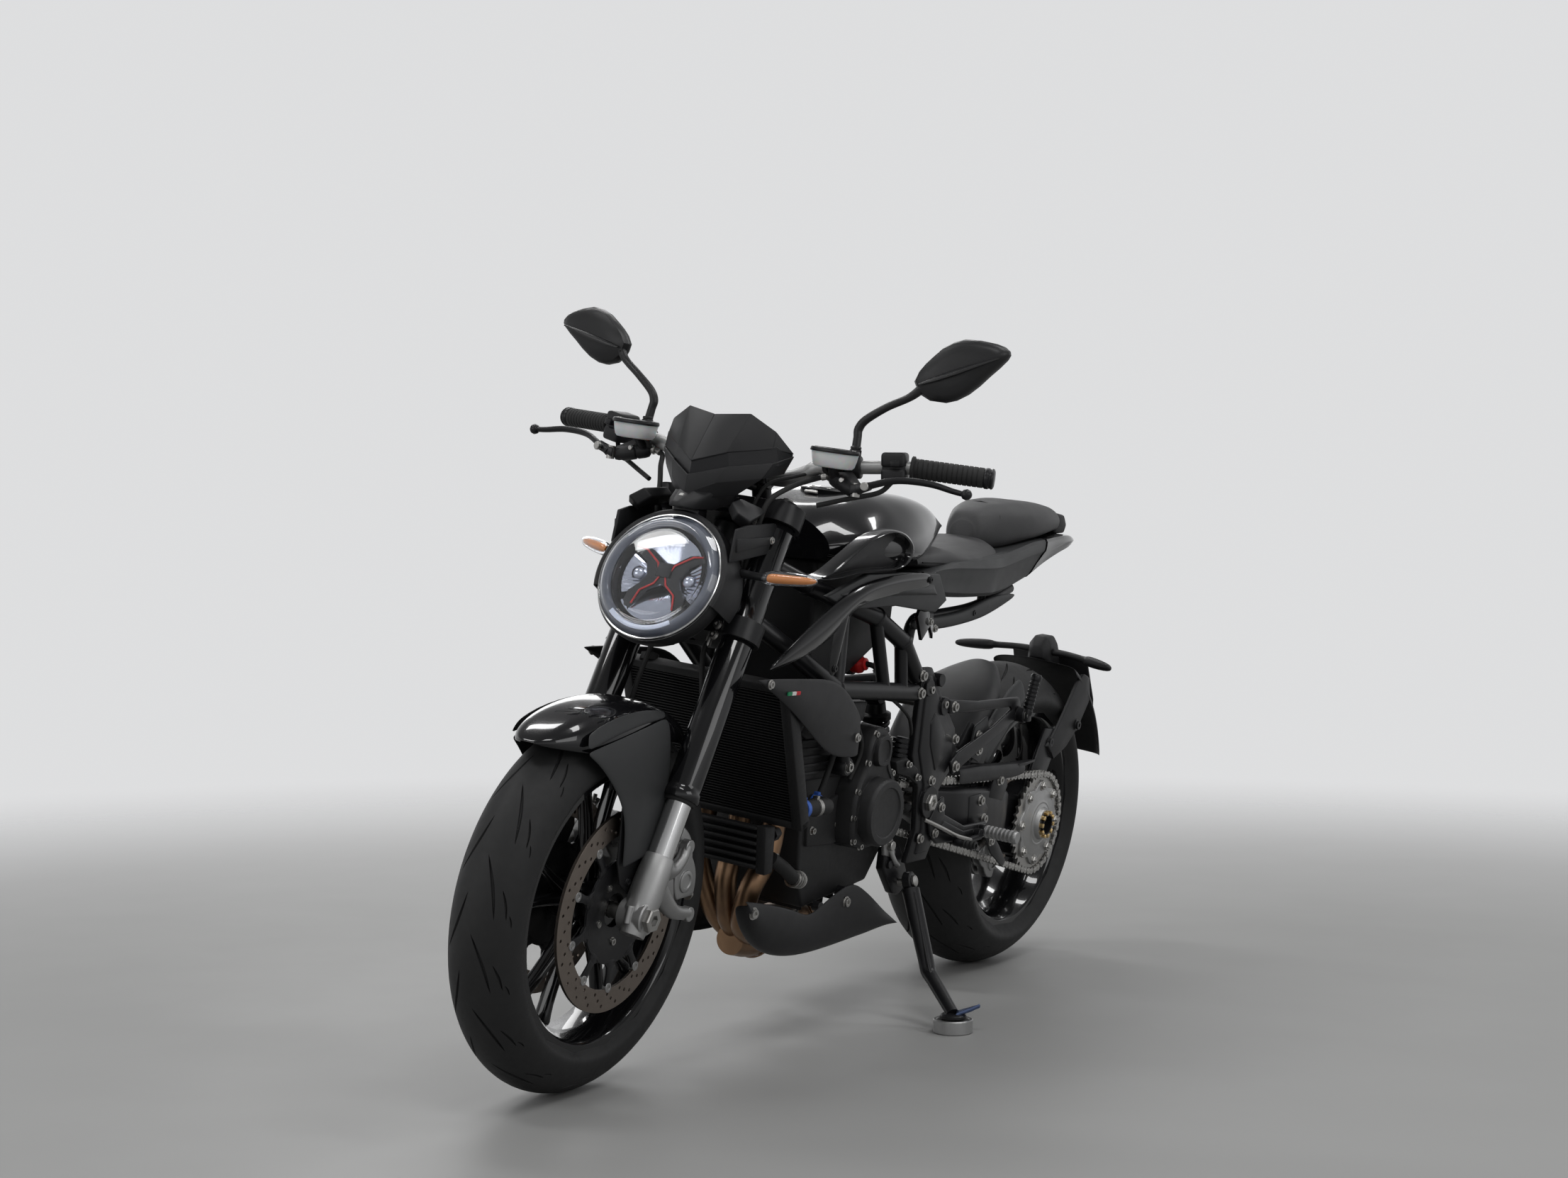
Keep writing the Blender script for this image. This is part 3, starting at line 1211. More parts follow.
def flyscreen():
    """A faceted two-peaked screen over a smoked band and a pointed beak."""
    def facet(points, depth=5.0, finish="satin"):
        pts = [Vector(p) for p in points]
        normal = (pts[1] - pts[0]).cross(pts[2] - pts[0]).normalized()
        if normal.y > 0:
            normal = -normal
        return plank(pts, [p - normal * depth for p in pts], finish)

    centre_low, centre_top = (0, -552, 1000), (0, -497, 1078)
    peak, flank, tip = (58, -482, 1086), (98, -462, 1062), (122, -438, 1030)
    left = [[centre_low, centre_top, peak, (46, -522, 1020)], [(46, -522, 1020), peak, flank, (100, -470, 1034)],
            [(100, -470, 1034), flank, tip]]
    parts = [eased(facet(points), 1.2, 2, 20) for points in left]
    smoked = [[(0, -549, 1003), (46, -519, 1023), (52, -518, 995), (0, -552, 974)],
              [(46, -519, 1023), (103, -466, 1038), (110, -461, 1008), (52, -518, 995)],
              [(103, -466, 1038), (119, -437, 1029), (118, -436, 1021), (110, -461, 1008)]]
    parts += [facet(points, 3, "lamp_black") for points in smoked]
    lower = [[(0, -558, 978), (52, -524, 998), (40, -538, 968), (0, -560, 946)],
             [(52, -524, 998), (106, -470, 1012), (92, -478, 984), (40, -538, 968)],
             [(106, -470, 1012), (122, -436, 1026), (112, -444, 996), (92, -478, 984)],
             [(0, -560, 946), (40, -538, 968), (92, -478, 984), (60, -500, 952), (16, -548, 940)]]
    parts += [eased(facet(points, 4), 1.2, 2, 20) for points in lower]
    piece("flyscreen_panels", both(parts), STEERING, "flyscreen", crease=25)
    screws("flyscreen_screw", [((0, -566, 941), (0, -1, 0.2))], STEERING, head=5, height=3)


def front_indicators():
    """Clear oblong lamps with amber cores on short stalks."""
    stalk = pipe([(66, -526, 834), (110, -528, 834), (150, -530, 834)], [8, 7, 6], "satin", 14)
    axis = Vector((76, 36, 5)).normalized()
    lens, hollow, core = [], [], []
    for t, size in ((0, 9), (0.06, 12.5), (0.2, 13.5), (0.6, 12.5), (0.9, 9.5), (1.0, 5), (1.015, 0.6)):
        centre = Vector((150, -530, 834)) + axis * 82 * t
        for rings, radius, back in ((lens, size, 0), (hollow, max(size - 1.3, 0.3), 1.2), (core, size * 0.62, 1.2)):
            rings.append(oblong(centre - axis * back, radius * 0.95, radius * 1.15))
    shell = loft(lens + hollow[::-1], "lens", loop=True)
    piece("front_indicator_stalks", both([stalk]), STEERING, "front_indicators")
    piece("front_indicator_cores", both([softened(loft(core[1:-1], "amber_core"), 1)]), STEERING)
    piece("front_indicator_lenses", both([softened(shell, 1)]), STEERING)


headlight()
flyscreen()
front_indicators()


# Handlebar, controls, mirrors and display

# The left grip's ends, and the bar's bend inside it
INNER, OUTER = Vector((290, -352, 1033)), Vector((406, -312, 1033))
BEND = Vector((150, -397, 1014.8))


def bar_axes(origin, ahead):
    """The matrix that lays x along the bar, y towards the rider and z up."""
    x = ahead.normalized()
    y = Vector((0, 0, 1)).cross(x).normalized()
    z = x.cross(y)
    return Matrix(((x.x, y.x, z.x, origin.x), (x.y, y.y, z.y, origin.y), (x.z, y.z, z.z, origin.z), (0, 0, 0, 1)))


GRIP = bar_axes(INNER, OUTER - INNER)
SWITCH = bar_axes(INNER, INNER - BEND)


def handlebar():
    route = [(0, -398, 986), (60, -398, 986.5), (98, -399, 989), (128, -398, 1002), (152, -396, 1015),
             (220, -375, 1024), (290, -352, 1033), (348, -332, 1033), (406, -312, 1033)]
    bar = pipe(route, [14, 14, 14, 13, 12, 11, 11, 11, 11], "silver", 24)
    clamp = [disc((45, -398, 986), 20, -17, 17, "frame", steps=40),
             eased(block((28, -420, 974), (62, -376, 986), "frame"), 3)]
    piece("handlebar_tube", both([bar] + clamp), STEERING, "handlebar")
    screws("handlebar_screws", mirrored_places([((36, -416, 986), (0, -0.4, 0.9)), ((54, -416, 986), (0, -0.4, 0.9)),
                                                ((36, -380, 986), (0, 0.4, 0.9)), ((54, -380, 986), (0, 0.4, 0.9))]),
           STEERING, head=4.5, height=14)
    profile = [(0, 11.3), (0, 18), (1, 19.4), (5, 19.4), (6.5, 16)]
    for k in range(13):
        at = 11 + k * 8.0
        profile += [(at, 16.4), (at + 0.7, 15.4), (at + 1.6, 15.4), (at + 2.3, 16.4)]
    grip = lathe(profile + [(117, 16.2), (118.6, 15), (118.6, 11.3)], (0, 0, 0), "hose", (1, 0, 0), 48)
    weight = lathe([(119, 0), (119, 15.6), (121, 17), (126, 17), (127, 15.6), (130, 15.6), (131, 17), (133.5, 16),
                    (135, 13), (135, 0)], (0, 0, 0), "frame", (1, 0, 0), 48)
    piece("grip_sleeves", both([grip.moved(GRIP), weight.moved(GRIP)]), STEERING, "grips")


def switches():
    box_low = eased(block((-46, -24, -25), (-6, 23, -0.6), "satin"), 6, 3)
    box_high = eased(block((-46, -24, 0.6), (-6, 23, 25), "satin"), 6, 3)
    neck = disc((-26, 0, 0), 21, -18, 18, "satin", steps=36)
    keys = [eased(block((-40, 19, 6), (-27, 27, 18), "frame"), 1.5),
            eased(block((-22, 20, 4), (-10, 26.5, 11), "frame"), 1.5),
            eased(block((-36, 20, -16), (-16, 27, -5), "frame"), 1.5),
            disc((-14, 24, 17), 3.2, -2, 3, "red_trim", (0, 1, 0), 20),
            eased(block((-30, -31, 2), (-14, -20, 12), "frame"), 1.5)]
    cable = pipe([(-30, -6, -23), (-50, -12, -40), (-96, -18, -50), (-150, -20, -62)], 4.2, "hose", 10)
    housing = [s.moved(SWITCH) for s in [box_low, box_high, neck, cable] + keys]
    perch = lathe([(-108, 11.3), (-108, 16.5), (-106, 18.5), (-82, 18.5), (-80, 16.5), (-80, 11.3)], (0, 0, 0),
                  "satin", (1, 0, 0), 40).moved(SWITCH)
    arm = eased(plank([(186, -404, 1012), (212, -398, 1016), (240, -414, 996), (238, -432, 994), (214, -420, 1000),
                       (188, -416, 1006)],
                      [(186, -402, 992), (212, -396, 996), (240, -414, 981), (238, -432, 979), (214, -420, 982),
                       (188, -414, 988)], "satin"), 3, 2)
    across = (Vector((236, -420, 984)) - Vector((180, -400, 1000))).normalized()
    master = lathe([(-4, 0), (-4, 8), (0, 12), (6, 13), (18, 13), (20, 11), (22, 13), (44, 13), (48, 11), (52, 11),
                    (58, 9), (58, 0)], (180, -400, 1000), "satin", across, 36)
    bolt = lathe([(-16, 0), (-16, 6), (-12, 7), (-4, 7), (-4, 0)], (180, -400, 1000), "steel", across, 6)
    ring = lathe([(-11, 4), (-11, 9), (-7, 9), (-7, 4)], (180, -400, 1000), "steel", across, 24)
    post = pipe([(184, -408, 1004), (185, -418, 1012), (187, -428, 1020)], [8, 8, 7], "satin", 14)
    pin = lathe([(-11, 0), (-11, 7), (11, 7), (11, 0)], (236, -428, 988), "steel", (0, 0, 1), 20)
    pinch = [disc((x, -418, z), 4.4, -3, 4, "steel", (0.1, -1, 0), 16) for x, z in ((203, 1026), (203, 1000))]
    piece("switch_housings", both(housing + [perch, arm, master, bolt, ring, post, pin] + pinch), STEERING,
          "switchgear")
    blade = pipe([(240, -430, 988), (262, -428, 999), (300, -414, 1012), (350, -404, 1014), (392, -402, 1008),
                  (412, -402, 1006)], [8.5, 6.4, 6.2, 6, 5.2, 5], "frame", 16, flat=(0.78, 1.0))
    knob = lathe([(-9, 0), (-8, 4), (-5, 7.4), (0, 9), (5, 7.4), (8, 4), (9, 0)], (416, -402, 1006), "frame",
                 (1, 0, 0), 28)
    root = eased(plank([(228, -436, 996), (236, -419, 996), (262, -422, 1006), (262, -434, 1004)],
                       [(228, -436, 980), (236, -419, 980), (262, -422, 992), (262, -434, 990)], "frame"), 2)
    wheel = disc((256, -440, 996), 7, -4, 4, "steel", (0.3, -0.9, 0), 12)
    piece("lever_blades", both([blade, knob, root, wheel]), STEERING, "control_levers")


def oval_ring(centre, a, b):
    """A level ring, slightly squared, with half axes a and b."""
    return [Vector((centre[0] + a * u, centre[1] + b * v, centre[2]))
            for u, v in (superellipse(t, 2 / 2.4) for t in round_angles(40))]


def reservoirs():
    pot = loft([oval_ring((191, -430, z), a, b) for z, a, b in
                ((1017, 24, 17), (1018, 31, 23), (1022, 34.5, 25.8), (1031, 37, 27), (1039, 38.5, 27.8),
                 (1041.6, 39, 28))], "milky")
    lid = loft([oval_ring((191, -431, z), a, b) for z, a, b in
                ((1041.8, 38, 27), (1041.8, 40.6, 29), (1043, 41, 29.4), (1046, 41, 29.4), (1048.4, 39.4, 28),
                 (1048.6, 33, 22), (1047.2, 31.5, 21), (1047.2, 3, 2))], "frame")
    spigot = pipe([(172, -422, 1020), (170, -416, 1012), (176, -406, 1006)], 5, "hose", 12)
    piece("reservoir_pots", both([pot]), STEERING, "fluid_reservoirs")
    piece("reservoir_lids", both([lid, spigot]), STEERING)
    screws("reservoir_screws", mirrored_places([((157, -431, 1047.6), (0, 0, 1)), ((225, -431, 1047.6), (0, 0, 1))]),
           STEERING, head=3.4, height=1.6)


def mirror_head(turn):
    """A teardrop shell with a crease, and its glass, set about the stem's top."""
    outline = [(276, 1172), (281, 1160), (288, 1150), (303, 1141), (326, 1138), (344, 1142), (362, 1151),
               (380, 1165), (397, 1181), (412, 1194), (425, 1207), (429, 1214), (428, 1220), (420, 1227),
               (407, 1232), (384, 1237), (358, 1239), (340, 1234), (322, 1225), (307, 1212), (294, 1200), (283, 1187)]
    middle = (350, 1190)

    def at(x, back, z):
        """A point on the head, which leans back away from its stem."""
        return Vector((x, -366 + (x - 282) * 0.16 + back, z))

    def ring(scale, back):
        return [at(middle[0] + (x - middle[0]) * scale, back, middle[1] + (z - middle[1]) * scale)
                for x, z in outline]

    shell = loft([ring(*r) for r in ((0.12, -2), (0.45, -1.5), (0.78, 1), (0.93, 5), (1.0, 13), (1.0, 22),
                                     (0.975, 26), (0.94, 26), (0.94, 20), (0.12, 20))], "mirror_shell")
    crease = [(290, -2), (318, -3.4), (352, -4), (388, -3), (418, 1)]
    fin = pipe([at(x, back, 1166 + (x - 290) * 0.33) for x, back in crease], [2, 6, 7, 5, 2], "mirror_shell", 10,
               flat=(1, 0.45))
    glass = loft([ring(*r) for r in ((0.925, 22.5), (0.925, 24.4), (0.92, 25), (0.03, 25))], "chrome")
    neck = Matrix.Translation((283, -358, 1166))
    spin = neck @ Matrix.Rotation(math.radians(turn), 4, "Y") @ neck.inverted()
    return [s.moved(spin) for s in (shell, fin, glass)]


def mirrors():
    foot = INNER - (INNER - BEND).normalized() * 94 + Vector((0, 0, 22))
    stem = pipe([foot, (199, -376, 1070), (198, -374, 1084), (208, -372, 1100), (240, -368, 1124), (270, -360, 1142),
                 (284, -356, 1154), (292, -350, 1166)], [7.5, 7, 7.5, 7, 6.4, 6.4, 7.5, 8], "mirror_shell", 18)
    collar = [disc(foot, 11, -4, 7, "frame", (0, 0, 1), 6), disc(foot, 9, 7, 12, "mirror_shell", (0, 0, 1), 32)]
    left = [stem] + collar + mirror_head(-6.8)
    right = [s.mirrored() for s in [stem] + collar + mirror_head(6.8)]
    piece("mirror_heads", left + right, STEERING, "mirrors")


def roof_ring(ridge, half, y, low, mid, top):
    """A cross section with a flat floor and a roof that narrows to a share of its half width."""
    return [Vector((share * half, y, z)) for share, z in
            ((-1, low), (1, low), (1, mid), (ridge, top), (-ridge, top), (-1, mid))]


def display():
    case = eased(prism([(-484, 1000), (-446, 1058), (-424, 1050), (-462, 990)], -73, 73, "satin"), 4, 3)
    glass = eased(plank([(-66, -427, 1047), (66, -427, 1047), (66, -459, 997), (-66, -459, 997)],
                        [(-66, -423, 1046), (66, -423, 1046), (66, -455, 995), (-66, -455, 995)], "gloss"), 1)
    sections = ((10, -584, 926, 930, 934), (24, -562, 924, 938, 948), (36, -520, 925, 958, 972),
                (38, -470, 936, 985, 1000), (30, -440, 950, 972, 990))
    nose = eased(loft([roof_ring(0.45, *section) for section in sections], "satin"), 2.5, 2)
    legs = both([pipe([(30, -440, 972), (36, -424, 970), (40, -412, 968)], 8, "frame", 14)])
    piece("display_housing", [case, glass, nose] + legs, STEERING, "instrument")


def front_hoses():
    """Brake hoses with their end fittings, and the lines down from the controls."""
    route = [(50, -505, 721), (50, -520, 690), (68, -530, 600), (76, -528, 520), (74, -540, 470), (62, -568, 432)]
    hose = pipe(route, 4.4, "hose", 12)
    ends = []
    for at, way in ((Vector(route[0]), Vector(route[1]) - Vector(route[0])),
                    (Vector(route[-1]), Vector(route[-2]) - Vector(route[-1]))):
        ends.append(lathe([(-2, 0), (-2, 5.4), (14, 5.4), (16, 4.6), (16, 0)], at, "steel", way.normalized(), 20))
    clip = disc((76, -528, 520), 6.4, -3, 3, "frame", (0, 0.1, 1), 20)
    piece("brake_hose_lines", both([hose] + ends + [clip]), STEERING, "brake_hoses")
    line = pipe([(170, -396, 1003), (150, -402, 996), (126, -440, 978), (104, -470, 950), (96, -480, 905),
                 (84, -478, 860), (72, -470, 800)], 4.4, "hose", 12)
    wire = pipe([(150, -392, 1008), (118, -420, 994), (86, -450, 975), (70, -462, 930), (62, -470, 880)], 3, "hose",
                10)
    collar = lathe([(-2, 0), (-2, 6), (13, 6), (14, 5), (14, 0)], (168, -396, 1003), "steel", (-1, -0.3, -0.35), 20)
    piece("control_lines", both([line, wire, collar]), STEERING)


handlebar()
switches()
reservoirs()
mirrors()
display()
front_hoses()


# Tank, covers, seats and tail

def skin(sections, finish, around, along):
    """A smooth closed body through half sections (y, [(x, z)]) from the top to the underside.

    A section may add how far it slants rearwards for each mm up, and the height at which y holds.
    """
    rows = []
    for y, half, *slant in sections:
        slope, level = slant or (0.0, 0.0)
        pts = [Vector((x, y + slope * (z - level), z)) for x, z in half]
        mirrored = [Vector((-p.x, p.y, p.z)) for p in pts]
        path = spline([mirrored[1]] + pts + [mirrored[-2]], around) + [pts[-1]]
        for p in path:
            p.x = max(p.x, 0.0)
        rows.append(path)
    columns = [curve_through(column, along) for column in zip(*rows)]
    rings = []
    for half in zip(*columns):
        half[0].x = half[-1].x = 0.0
        rings.append(list(half) + [Vector((-p.x, p.y, p.z)) for p in reversed(half[1:-1])])
    return loft(rings, finish)


def tank():
    sections = [
        (-262, [(0, 925), (50, 921), (94, 899), (112, 876), (104, 858), (50, 851), (0, 850)]),
        (-225, [(0, 941), (62, 937), (116, 910), (137, 882), (128, 856), (60, 848), (0, 848)]),
        (-180, [(0, 952), (76, 949), (134, 919), (158, 888), (148, 857), (70, 847), (0, 847)]),
        (-120, [(0, 963), (78, 961), (132, 934), (161, 893), (152, 857), (70, 847), (0, 847)]),
        (-60, [(0, 968), (74, 967), (126, 942), (160, 897), (150, 858), (70, 847), (0, 847)]),
        (0, [(0, 969), (72, 968), (120, 946), (151, 900), (142, 862), (66, 850), (0, 850)]),
        (60, [(0, 967), (68, 966), (110, 946), (136, 902), (124, 878), (60, 868), (0, 868)]),
        (110, [(0, 961), (62, 960), (98, 944), (118, 910), (106, 896), (54, 890), (0, 890)]),
        (150, [(0, 951), (56, 950), (86, 937), (101, 917), (92, 909), (46, 905), (0, 905)]),
        (190, [(0, 936), (48, 935), (72, 926), (84, 918), (74, 916), (38, 914), (0, 914)]),
        (208, [(0, 928), (42, 927), (64, 922), (72, 918), (66, 917), (34, 916), (0, 916)]),
    ]
    shell = skin(sections, "gloss", 5, 5)
    ring = lathe([(0, 50), (1.5, 51), (2.6, 50), (2.6, 47.6), (0.5, 47), (-14, 47)], (0, -95, 965), "frame",
                 (0, 0, 1), 72)
    piece("tank_shell", [shell], CHASSIS, "fuel_tank")
    piece("tank_cap_ring", [ring], CHASSIS)
    lid = lathe([(0, 0), (0, 45), (18, 45.6), (21, 45), (22, 43), (22.6, 36), (24.6, 34), (24.6, 30), (22.8, 28.5),
                 (22.8, 0)], (0, -95, 944.5), "satin", (0, 0, 1), 72)
    flap = eased(block((-9, -114, 966.5), (9, -82, 970.5), "frame"), 1.6)
    arm = eased(block((-6, -155, 958), (6, -134, 965), "frame"), 1.2)
    pin = disc((0, -155, 961), 3, -13, 13, "steel", steps=18)
    piece("filler_lid", [lid, flap, arm, pin], FILLER_CAP, "fuel_cap")
    spots = [(Vector((32 * math.sin(a), -95 + 32 * math.cos(a), 969)), (0, 0, 1)) for a in round_angles(6, 0.5)]
    screws("filler_screws", spots, FILLER_CAP, head=3.2, height=1.4)


def scoops():
    """A raised almond rim round a dark inset panel on each flank."""
    outline = [(-392, 826), (-352, 838), (-300, 866), (-246, 893), (-200, 908), (-150, 916), (-106, 911),
               (-74, 894), (-68, 872), (-92, 853), (-140, 845), (-200, 843), (-270, 838), (-340, 828)]
    line = closed_curve([(0, y, z) for y, z in outline], 4)
    centre = Vector((0, -200, 874))

    def ring(scale, x):
        out = []
        for p in line:
            q = centre + (p - centre) * scale
            reach = min(1.0, max(0.0, (q.y + 396) / 130.0))
            out.append(Vector((x - 14 * (1 - reach) ** 2, q.y, q.z)))
        return out

    rim = loft([ring(*r) for r in ((1.0, 146), (1.01, 158), (0.985, 167), (0.95, 172.5), (0.905, 174.5), (0.87, 173),
                                   (0.85, 168), (0.835, 158), (0.82, 154))], "gloss", caps=False)
    panel = loft([ring(*r) for r in ((0.845, 157), (0.7, 159), (0.45, 161.5), (0.15, 163), (0.01, 163.2))], "satin")
    piece("tank_scoop_rims", both([rim, panel]), CHASSIS, "tank_scoops")


def wings():
    ribs = [((162.5, -496, 686), (165, -491, 684), (162, -486, 681)),
            ((162.5, -434, 724), (171, -424, 710), (163, -412, 694)),
            ((162.5, -345, 772), (175, -326, 750), (163, -308, 724)),
            ((162.5, -252, 820), (176, -246, 804), (163, -240, 782)),
            ((162.5, -150, 836), (174, -150, 822), (163, -150, 795)),
            ((162.5, -60, 842), (172, -60, 829), (163, -58, 806)),
            ((162.5, 20, 842), (169, 22, 830), (163, 24, 812))]
    rows = [[a, a.lerp(b, 0.6) + Vector((1.5, 0, 0)), b, b.lerp(c, 0.5), c] for a, b, c in
            (map(Vector, rib) for rib in ribs)]
    blade = softened(thick(sheet(rows, "gloss"), 5), 2)
    strut = [((162.5, -252, 800), (171, -266, 796), (163, -288, 770)),
             ((162.5, -262, 740), (171, -280, 736), (163, -303, 742)),
             ((162.5, -276, 690), (169, -288, 688), (163, -304, 690)),
             ((162.5, -281, 668), (166, -290, 667), (163, -300, 667))]
    rows = [[a, a.lerp(b, 0.6), b, c] for a, b, c in (map(Vector, rib) for rib in strut)]
    branch = softened(thick(sheet(rows, "gloss"), 4), 1)
    piece("wing_blades", both([blade, branch]), CHASSIS, "wing_struts")
    screws("wing_screws", both_flanks([(169, 8, 829), (166, -290, 680)]), CHASSIS, "frame", head=5.5, height=3)
    cover = [(-330, 800), (-265, 820), (-200, 838), (-70, 840), (60, 838), (100, 790), (60, 768), (-90, 782),
             (-240, 778), (-290, 787)]
    panel = eased(prism(cover, 147, 160, "cover_grey"), 3, 3)
    crease = eased(plank([(160, -300, 803), (160, -190, 822), (160, 40, 820), (160, 60, 800), (160, -80, 800),
                          (160, -230, 795)],
                         [(164, -270, 804), (165, -185, 814), (165, 30, 812), (165, 44, 804), (165, -80, 807),
                          (164, -225, 801)], "cover_grey"), 1.5)
    piece("airbox_cover_panels", both([panel, crease]), CHASSIS, "airbox_covers")
    throat = eased(prism([(-240, 850), (54, 866), (54, 720), (-100, 640), (-100, 608), (-220, 611)], -77, 77,
                         "satin"), 8, 3)
    trumpets = [lathe([(-20, 30), (14, 30), (18, 33), (18, 27), (14, 25), (-20, 25)], (x, -170, 616), "frame",
                      (0, 0, 1), 30) for x in (-48, 0, 48)]
    piece("airbox_body", [throat] + trumpets, CHASSIS, "airbox")
    facets = [[(128, 60, 838), (146, 40, 800), (150, 66, 742), (138, 104, 716), (126, 118, 770)],
              [(146, 40, 800), (152, 10, 760), (150, 40, 716), (150, 66, 742)]]
    piece("flank_facets", both([eased(flank_plate(points, 7, "gloss"), 1.2) for points in facets]), CHASSIS)
    screws("flank_screws", both_flanks([(150, 52, 790), (151, 62, 750), (144, 96, 736)]), CHASSIS, head=5.5, height=4)


def puffed(shape, fullness, seed):
    """Slight fullness and fine creases worked into a cushion's surface, up to a height in mm."""
    points = []
    for v in shape.points:
        wave = noise.noise(Vector((v.x * 0.018, v.y * 0.014, v.z * 0.03)) + Vector((seed, 0, 0)))
        fine = noise.noise(Vector((v.x * 0.06, v.y * 0.05, v.z * 0.09)) + Vector((0, seed, 0)))
        out = Vector((0.3 * v.x / 60, 0, 1)).normalized()
        points.append(v + out * (wave * fullness + fine * fullness * 0.25))
    return Shape(points, shape.faces, shape.finish)


def cushion(name, sections, fullness, seed, replaced):
    made = piece(name, [puffed(skin(sections, "vinyl", 7, 9), fullness, seed)], CHASSIS, replaced, crease=60)


def seats():
    rider = [
        (56, [(0, 874), (56, 873), (98, 866), (112, 856), (108, 846), (60, 842), (0, 842)]),
        (104, [(0, 876), (60, 875), (104, 868), (116, 856), (110, 843), (60, 840), (0, 840)]),
        (170, [(0, 880), (64, 880), (108, 871), (118, 857), (110, 841), (60, 838), (0, 838)]),
        (240, [(0, 874), (66, 873), (112, 865), (120, 852), (112, 837), (60, 834), (0, 834)]),
        (310, [(0, 874), (64, 873), (108, 866), (116, 852), (106, 838), (56, 836), (0, 836)]),
        (370, [(0, 881), (58, 879), (96, 870), (103, 858), (94, 846), (44, 843), (0, 843)]),
        (430, [(0, 892), (48, 890), (78, 878), (85, 866), (76, 856), (36, 854), (0, 854)]),
        (446, [(0, 893), (38, 890), (62, 880), (68, 870), (60, 862), (30, 860), (0, 860)]),
    ]
    pad = [
        (442, [(0, 922), (14, 918), (24, 908), (27, 894), (22, 880), (12, 870), (0, 868)]),
        (455, [(0, 945), (24, 940), (38, 922), (42, 898), (36, 876), (22, 865), (0, 863)]),
        (500, [(0, 960), (36, 956), (57, 936), (62, 906), (56, 881), (32, 871), (0, 869)]),
        (550, [(0, 966), (42, 962), (68, 942), (74, 914), (66, 889), (36, 880), (0, 878)]),
        (600, [(0, 969), (44, 965), (73, 946), (80, 921), (72, 898), (38, 889), (0, 887)]),
        (650, [(0, 969), (44, 965), (71, 947), (78, 924), (68, 903), (36, 896), (0, 894)]),
        (700, [(0, 968), (40, 964), (65, 947), (71, 927), (62, 909), (32, 903), (0, 901)]),
        (760, [(0, 963), (33, 960), (53, 946), (58, 930), (50, 915), (26, 909), (0, 908)]),
        (792, [(0, 956), (27, 953), (42, 942), (46, 929), (40, 916), (22, 911), (0, 910)]),
        (800, [(0, 946), (18, 944), (30, 937), (34, 928), (30, 919), (16, 914), (0, 913)]),
    ]
    cushion("rider_cushion", rider, 1.6, 3, "rider_seat")
    cushion("passenger_cushion", pad, 1.2, 9, "passenger_seat")
    seam = [(0, 508, 962), (18, 506, 959.5), (38, 500, 953), (52, 494, 938), (55, 488, 918), (49, 474, 900),
            (38, 460, 884), (20, 449, 872), (0, 446, 868)]
    ring = seam + [(-x, y, z) for x, y, z in reversed(seam[1:-1])]
    welt = pipe(curve_through(ring + ring[:1], 4), 1.3, "hose", 8, smooth=False)
    edge = [(116.5, 70, 853), (119.5, 170, 852), (121, 240, 848), (117, 310, 848), (104, 370, 854), (86, 430, 862)]
    low = pipe(edge, 1.4, "hose", 8)
    piece("seat_welts", [welt] + both([low]), CHASSIS)


def tail():
    def half(y, top, shoulder, high, low, mid, bottom, edge, skew=0.0):
        """Half a section through the tail, skewed about the seat rail's height."""
        return y, [(0, top), (shoulder[0] * 0.6, top), shoulder, high, low, mid, bottom, edge, (0, edge[1])], skew, 876

    front = [
        half(62, 832, (112, 836), (136, 828), (136.5, 824), (133, 812), (126, 797), (60, 791)),
        half(100, 838, (114, 843), (134, 841), (134.5, 836), (131, 816), (124, 796), (58, 788)),
        half(180, 850, (114, 856), (130, 846), (130, 841), (127, 816), (121, 792), (54, 784)),
        half(270, 858, (112, 862), (127, 846), (127, 840), (124, 814), (116, 789), (50, 782)),
        half(360, 862, (108, 866), (122, 846), (121, 840), (117, 814), (110, 789), (48, 782)),
        half(430, 866, (102, 869), (113.5, 849), (112.5, 842), (108, 814), (101, 790), (46, 782), 0.3),
        half(505, 876, (95, 880), (106, 859), (104.5, 850), (101, 822), (94, 793), (42, 786), 0.7),
        half(575, 888, (86, 892), (98, 870), (96, 860), (93, 834), (86, 803), (39, 797), 0.9375),
        half(641, 897, (79, 897), (90, 878), (88, 868), (85, 848), (78, 820), (36, 814), 0.9375),
    ]
    back = [
        half(646, 897, (80, 898), (91, 879), (90, 869), (86, 849), (79, 821), (36, 815), 0.9375),
        half(700, 904, (72, 902), (81, 884), (80, 876), (76, 860), (70, 843), (34, 835), 0.9375),
        half(760, 907, (64, 905), (73, 893), (72, 888), (69, 876), (63, 864), (30, 856), 0.8),
        half(815, 906, (57, 905), (65, 896), (65, 892), (62, 885), (56, 877), (28, 872), 0.4),
        half(848, 904, (51, 903), (58, 897), (58, 894), (55, 889), (50, 884), (24, 880), 0.0),
    ]
    skirt = skin(front, "cover_grey", 3, 4)
    tip = skin(back, "gloss", 3, 4)
    piece("tail_shell", [skirt, tip], CHASSIS, "tail_fairing", crease=24)
    housing = eased(prism([(792, 906), (840, 908), (848, 926), (832, 946), (790, 950)], -39, 39, "satin"), 5, 3)
    lens = eased(prism([(838, 911), (846, 912), (851, 926), (836, 943), (829, 942)], -33, 33, "red_lens"), 3, 2)
    piece("tail_lamp_block", [housing, lens], CHASSIS, "tail_light")


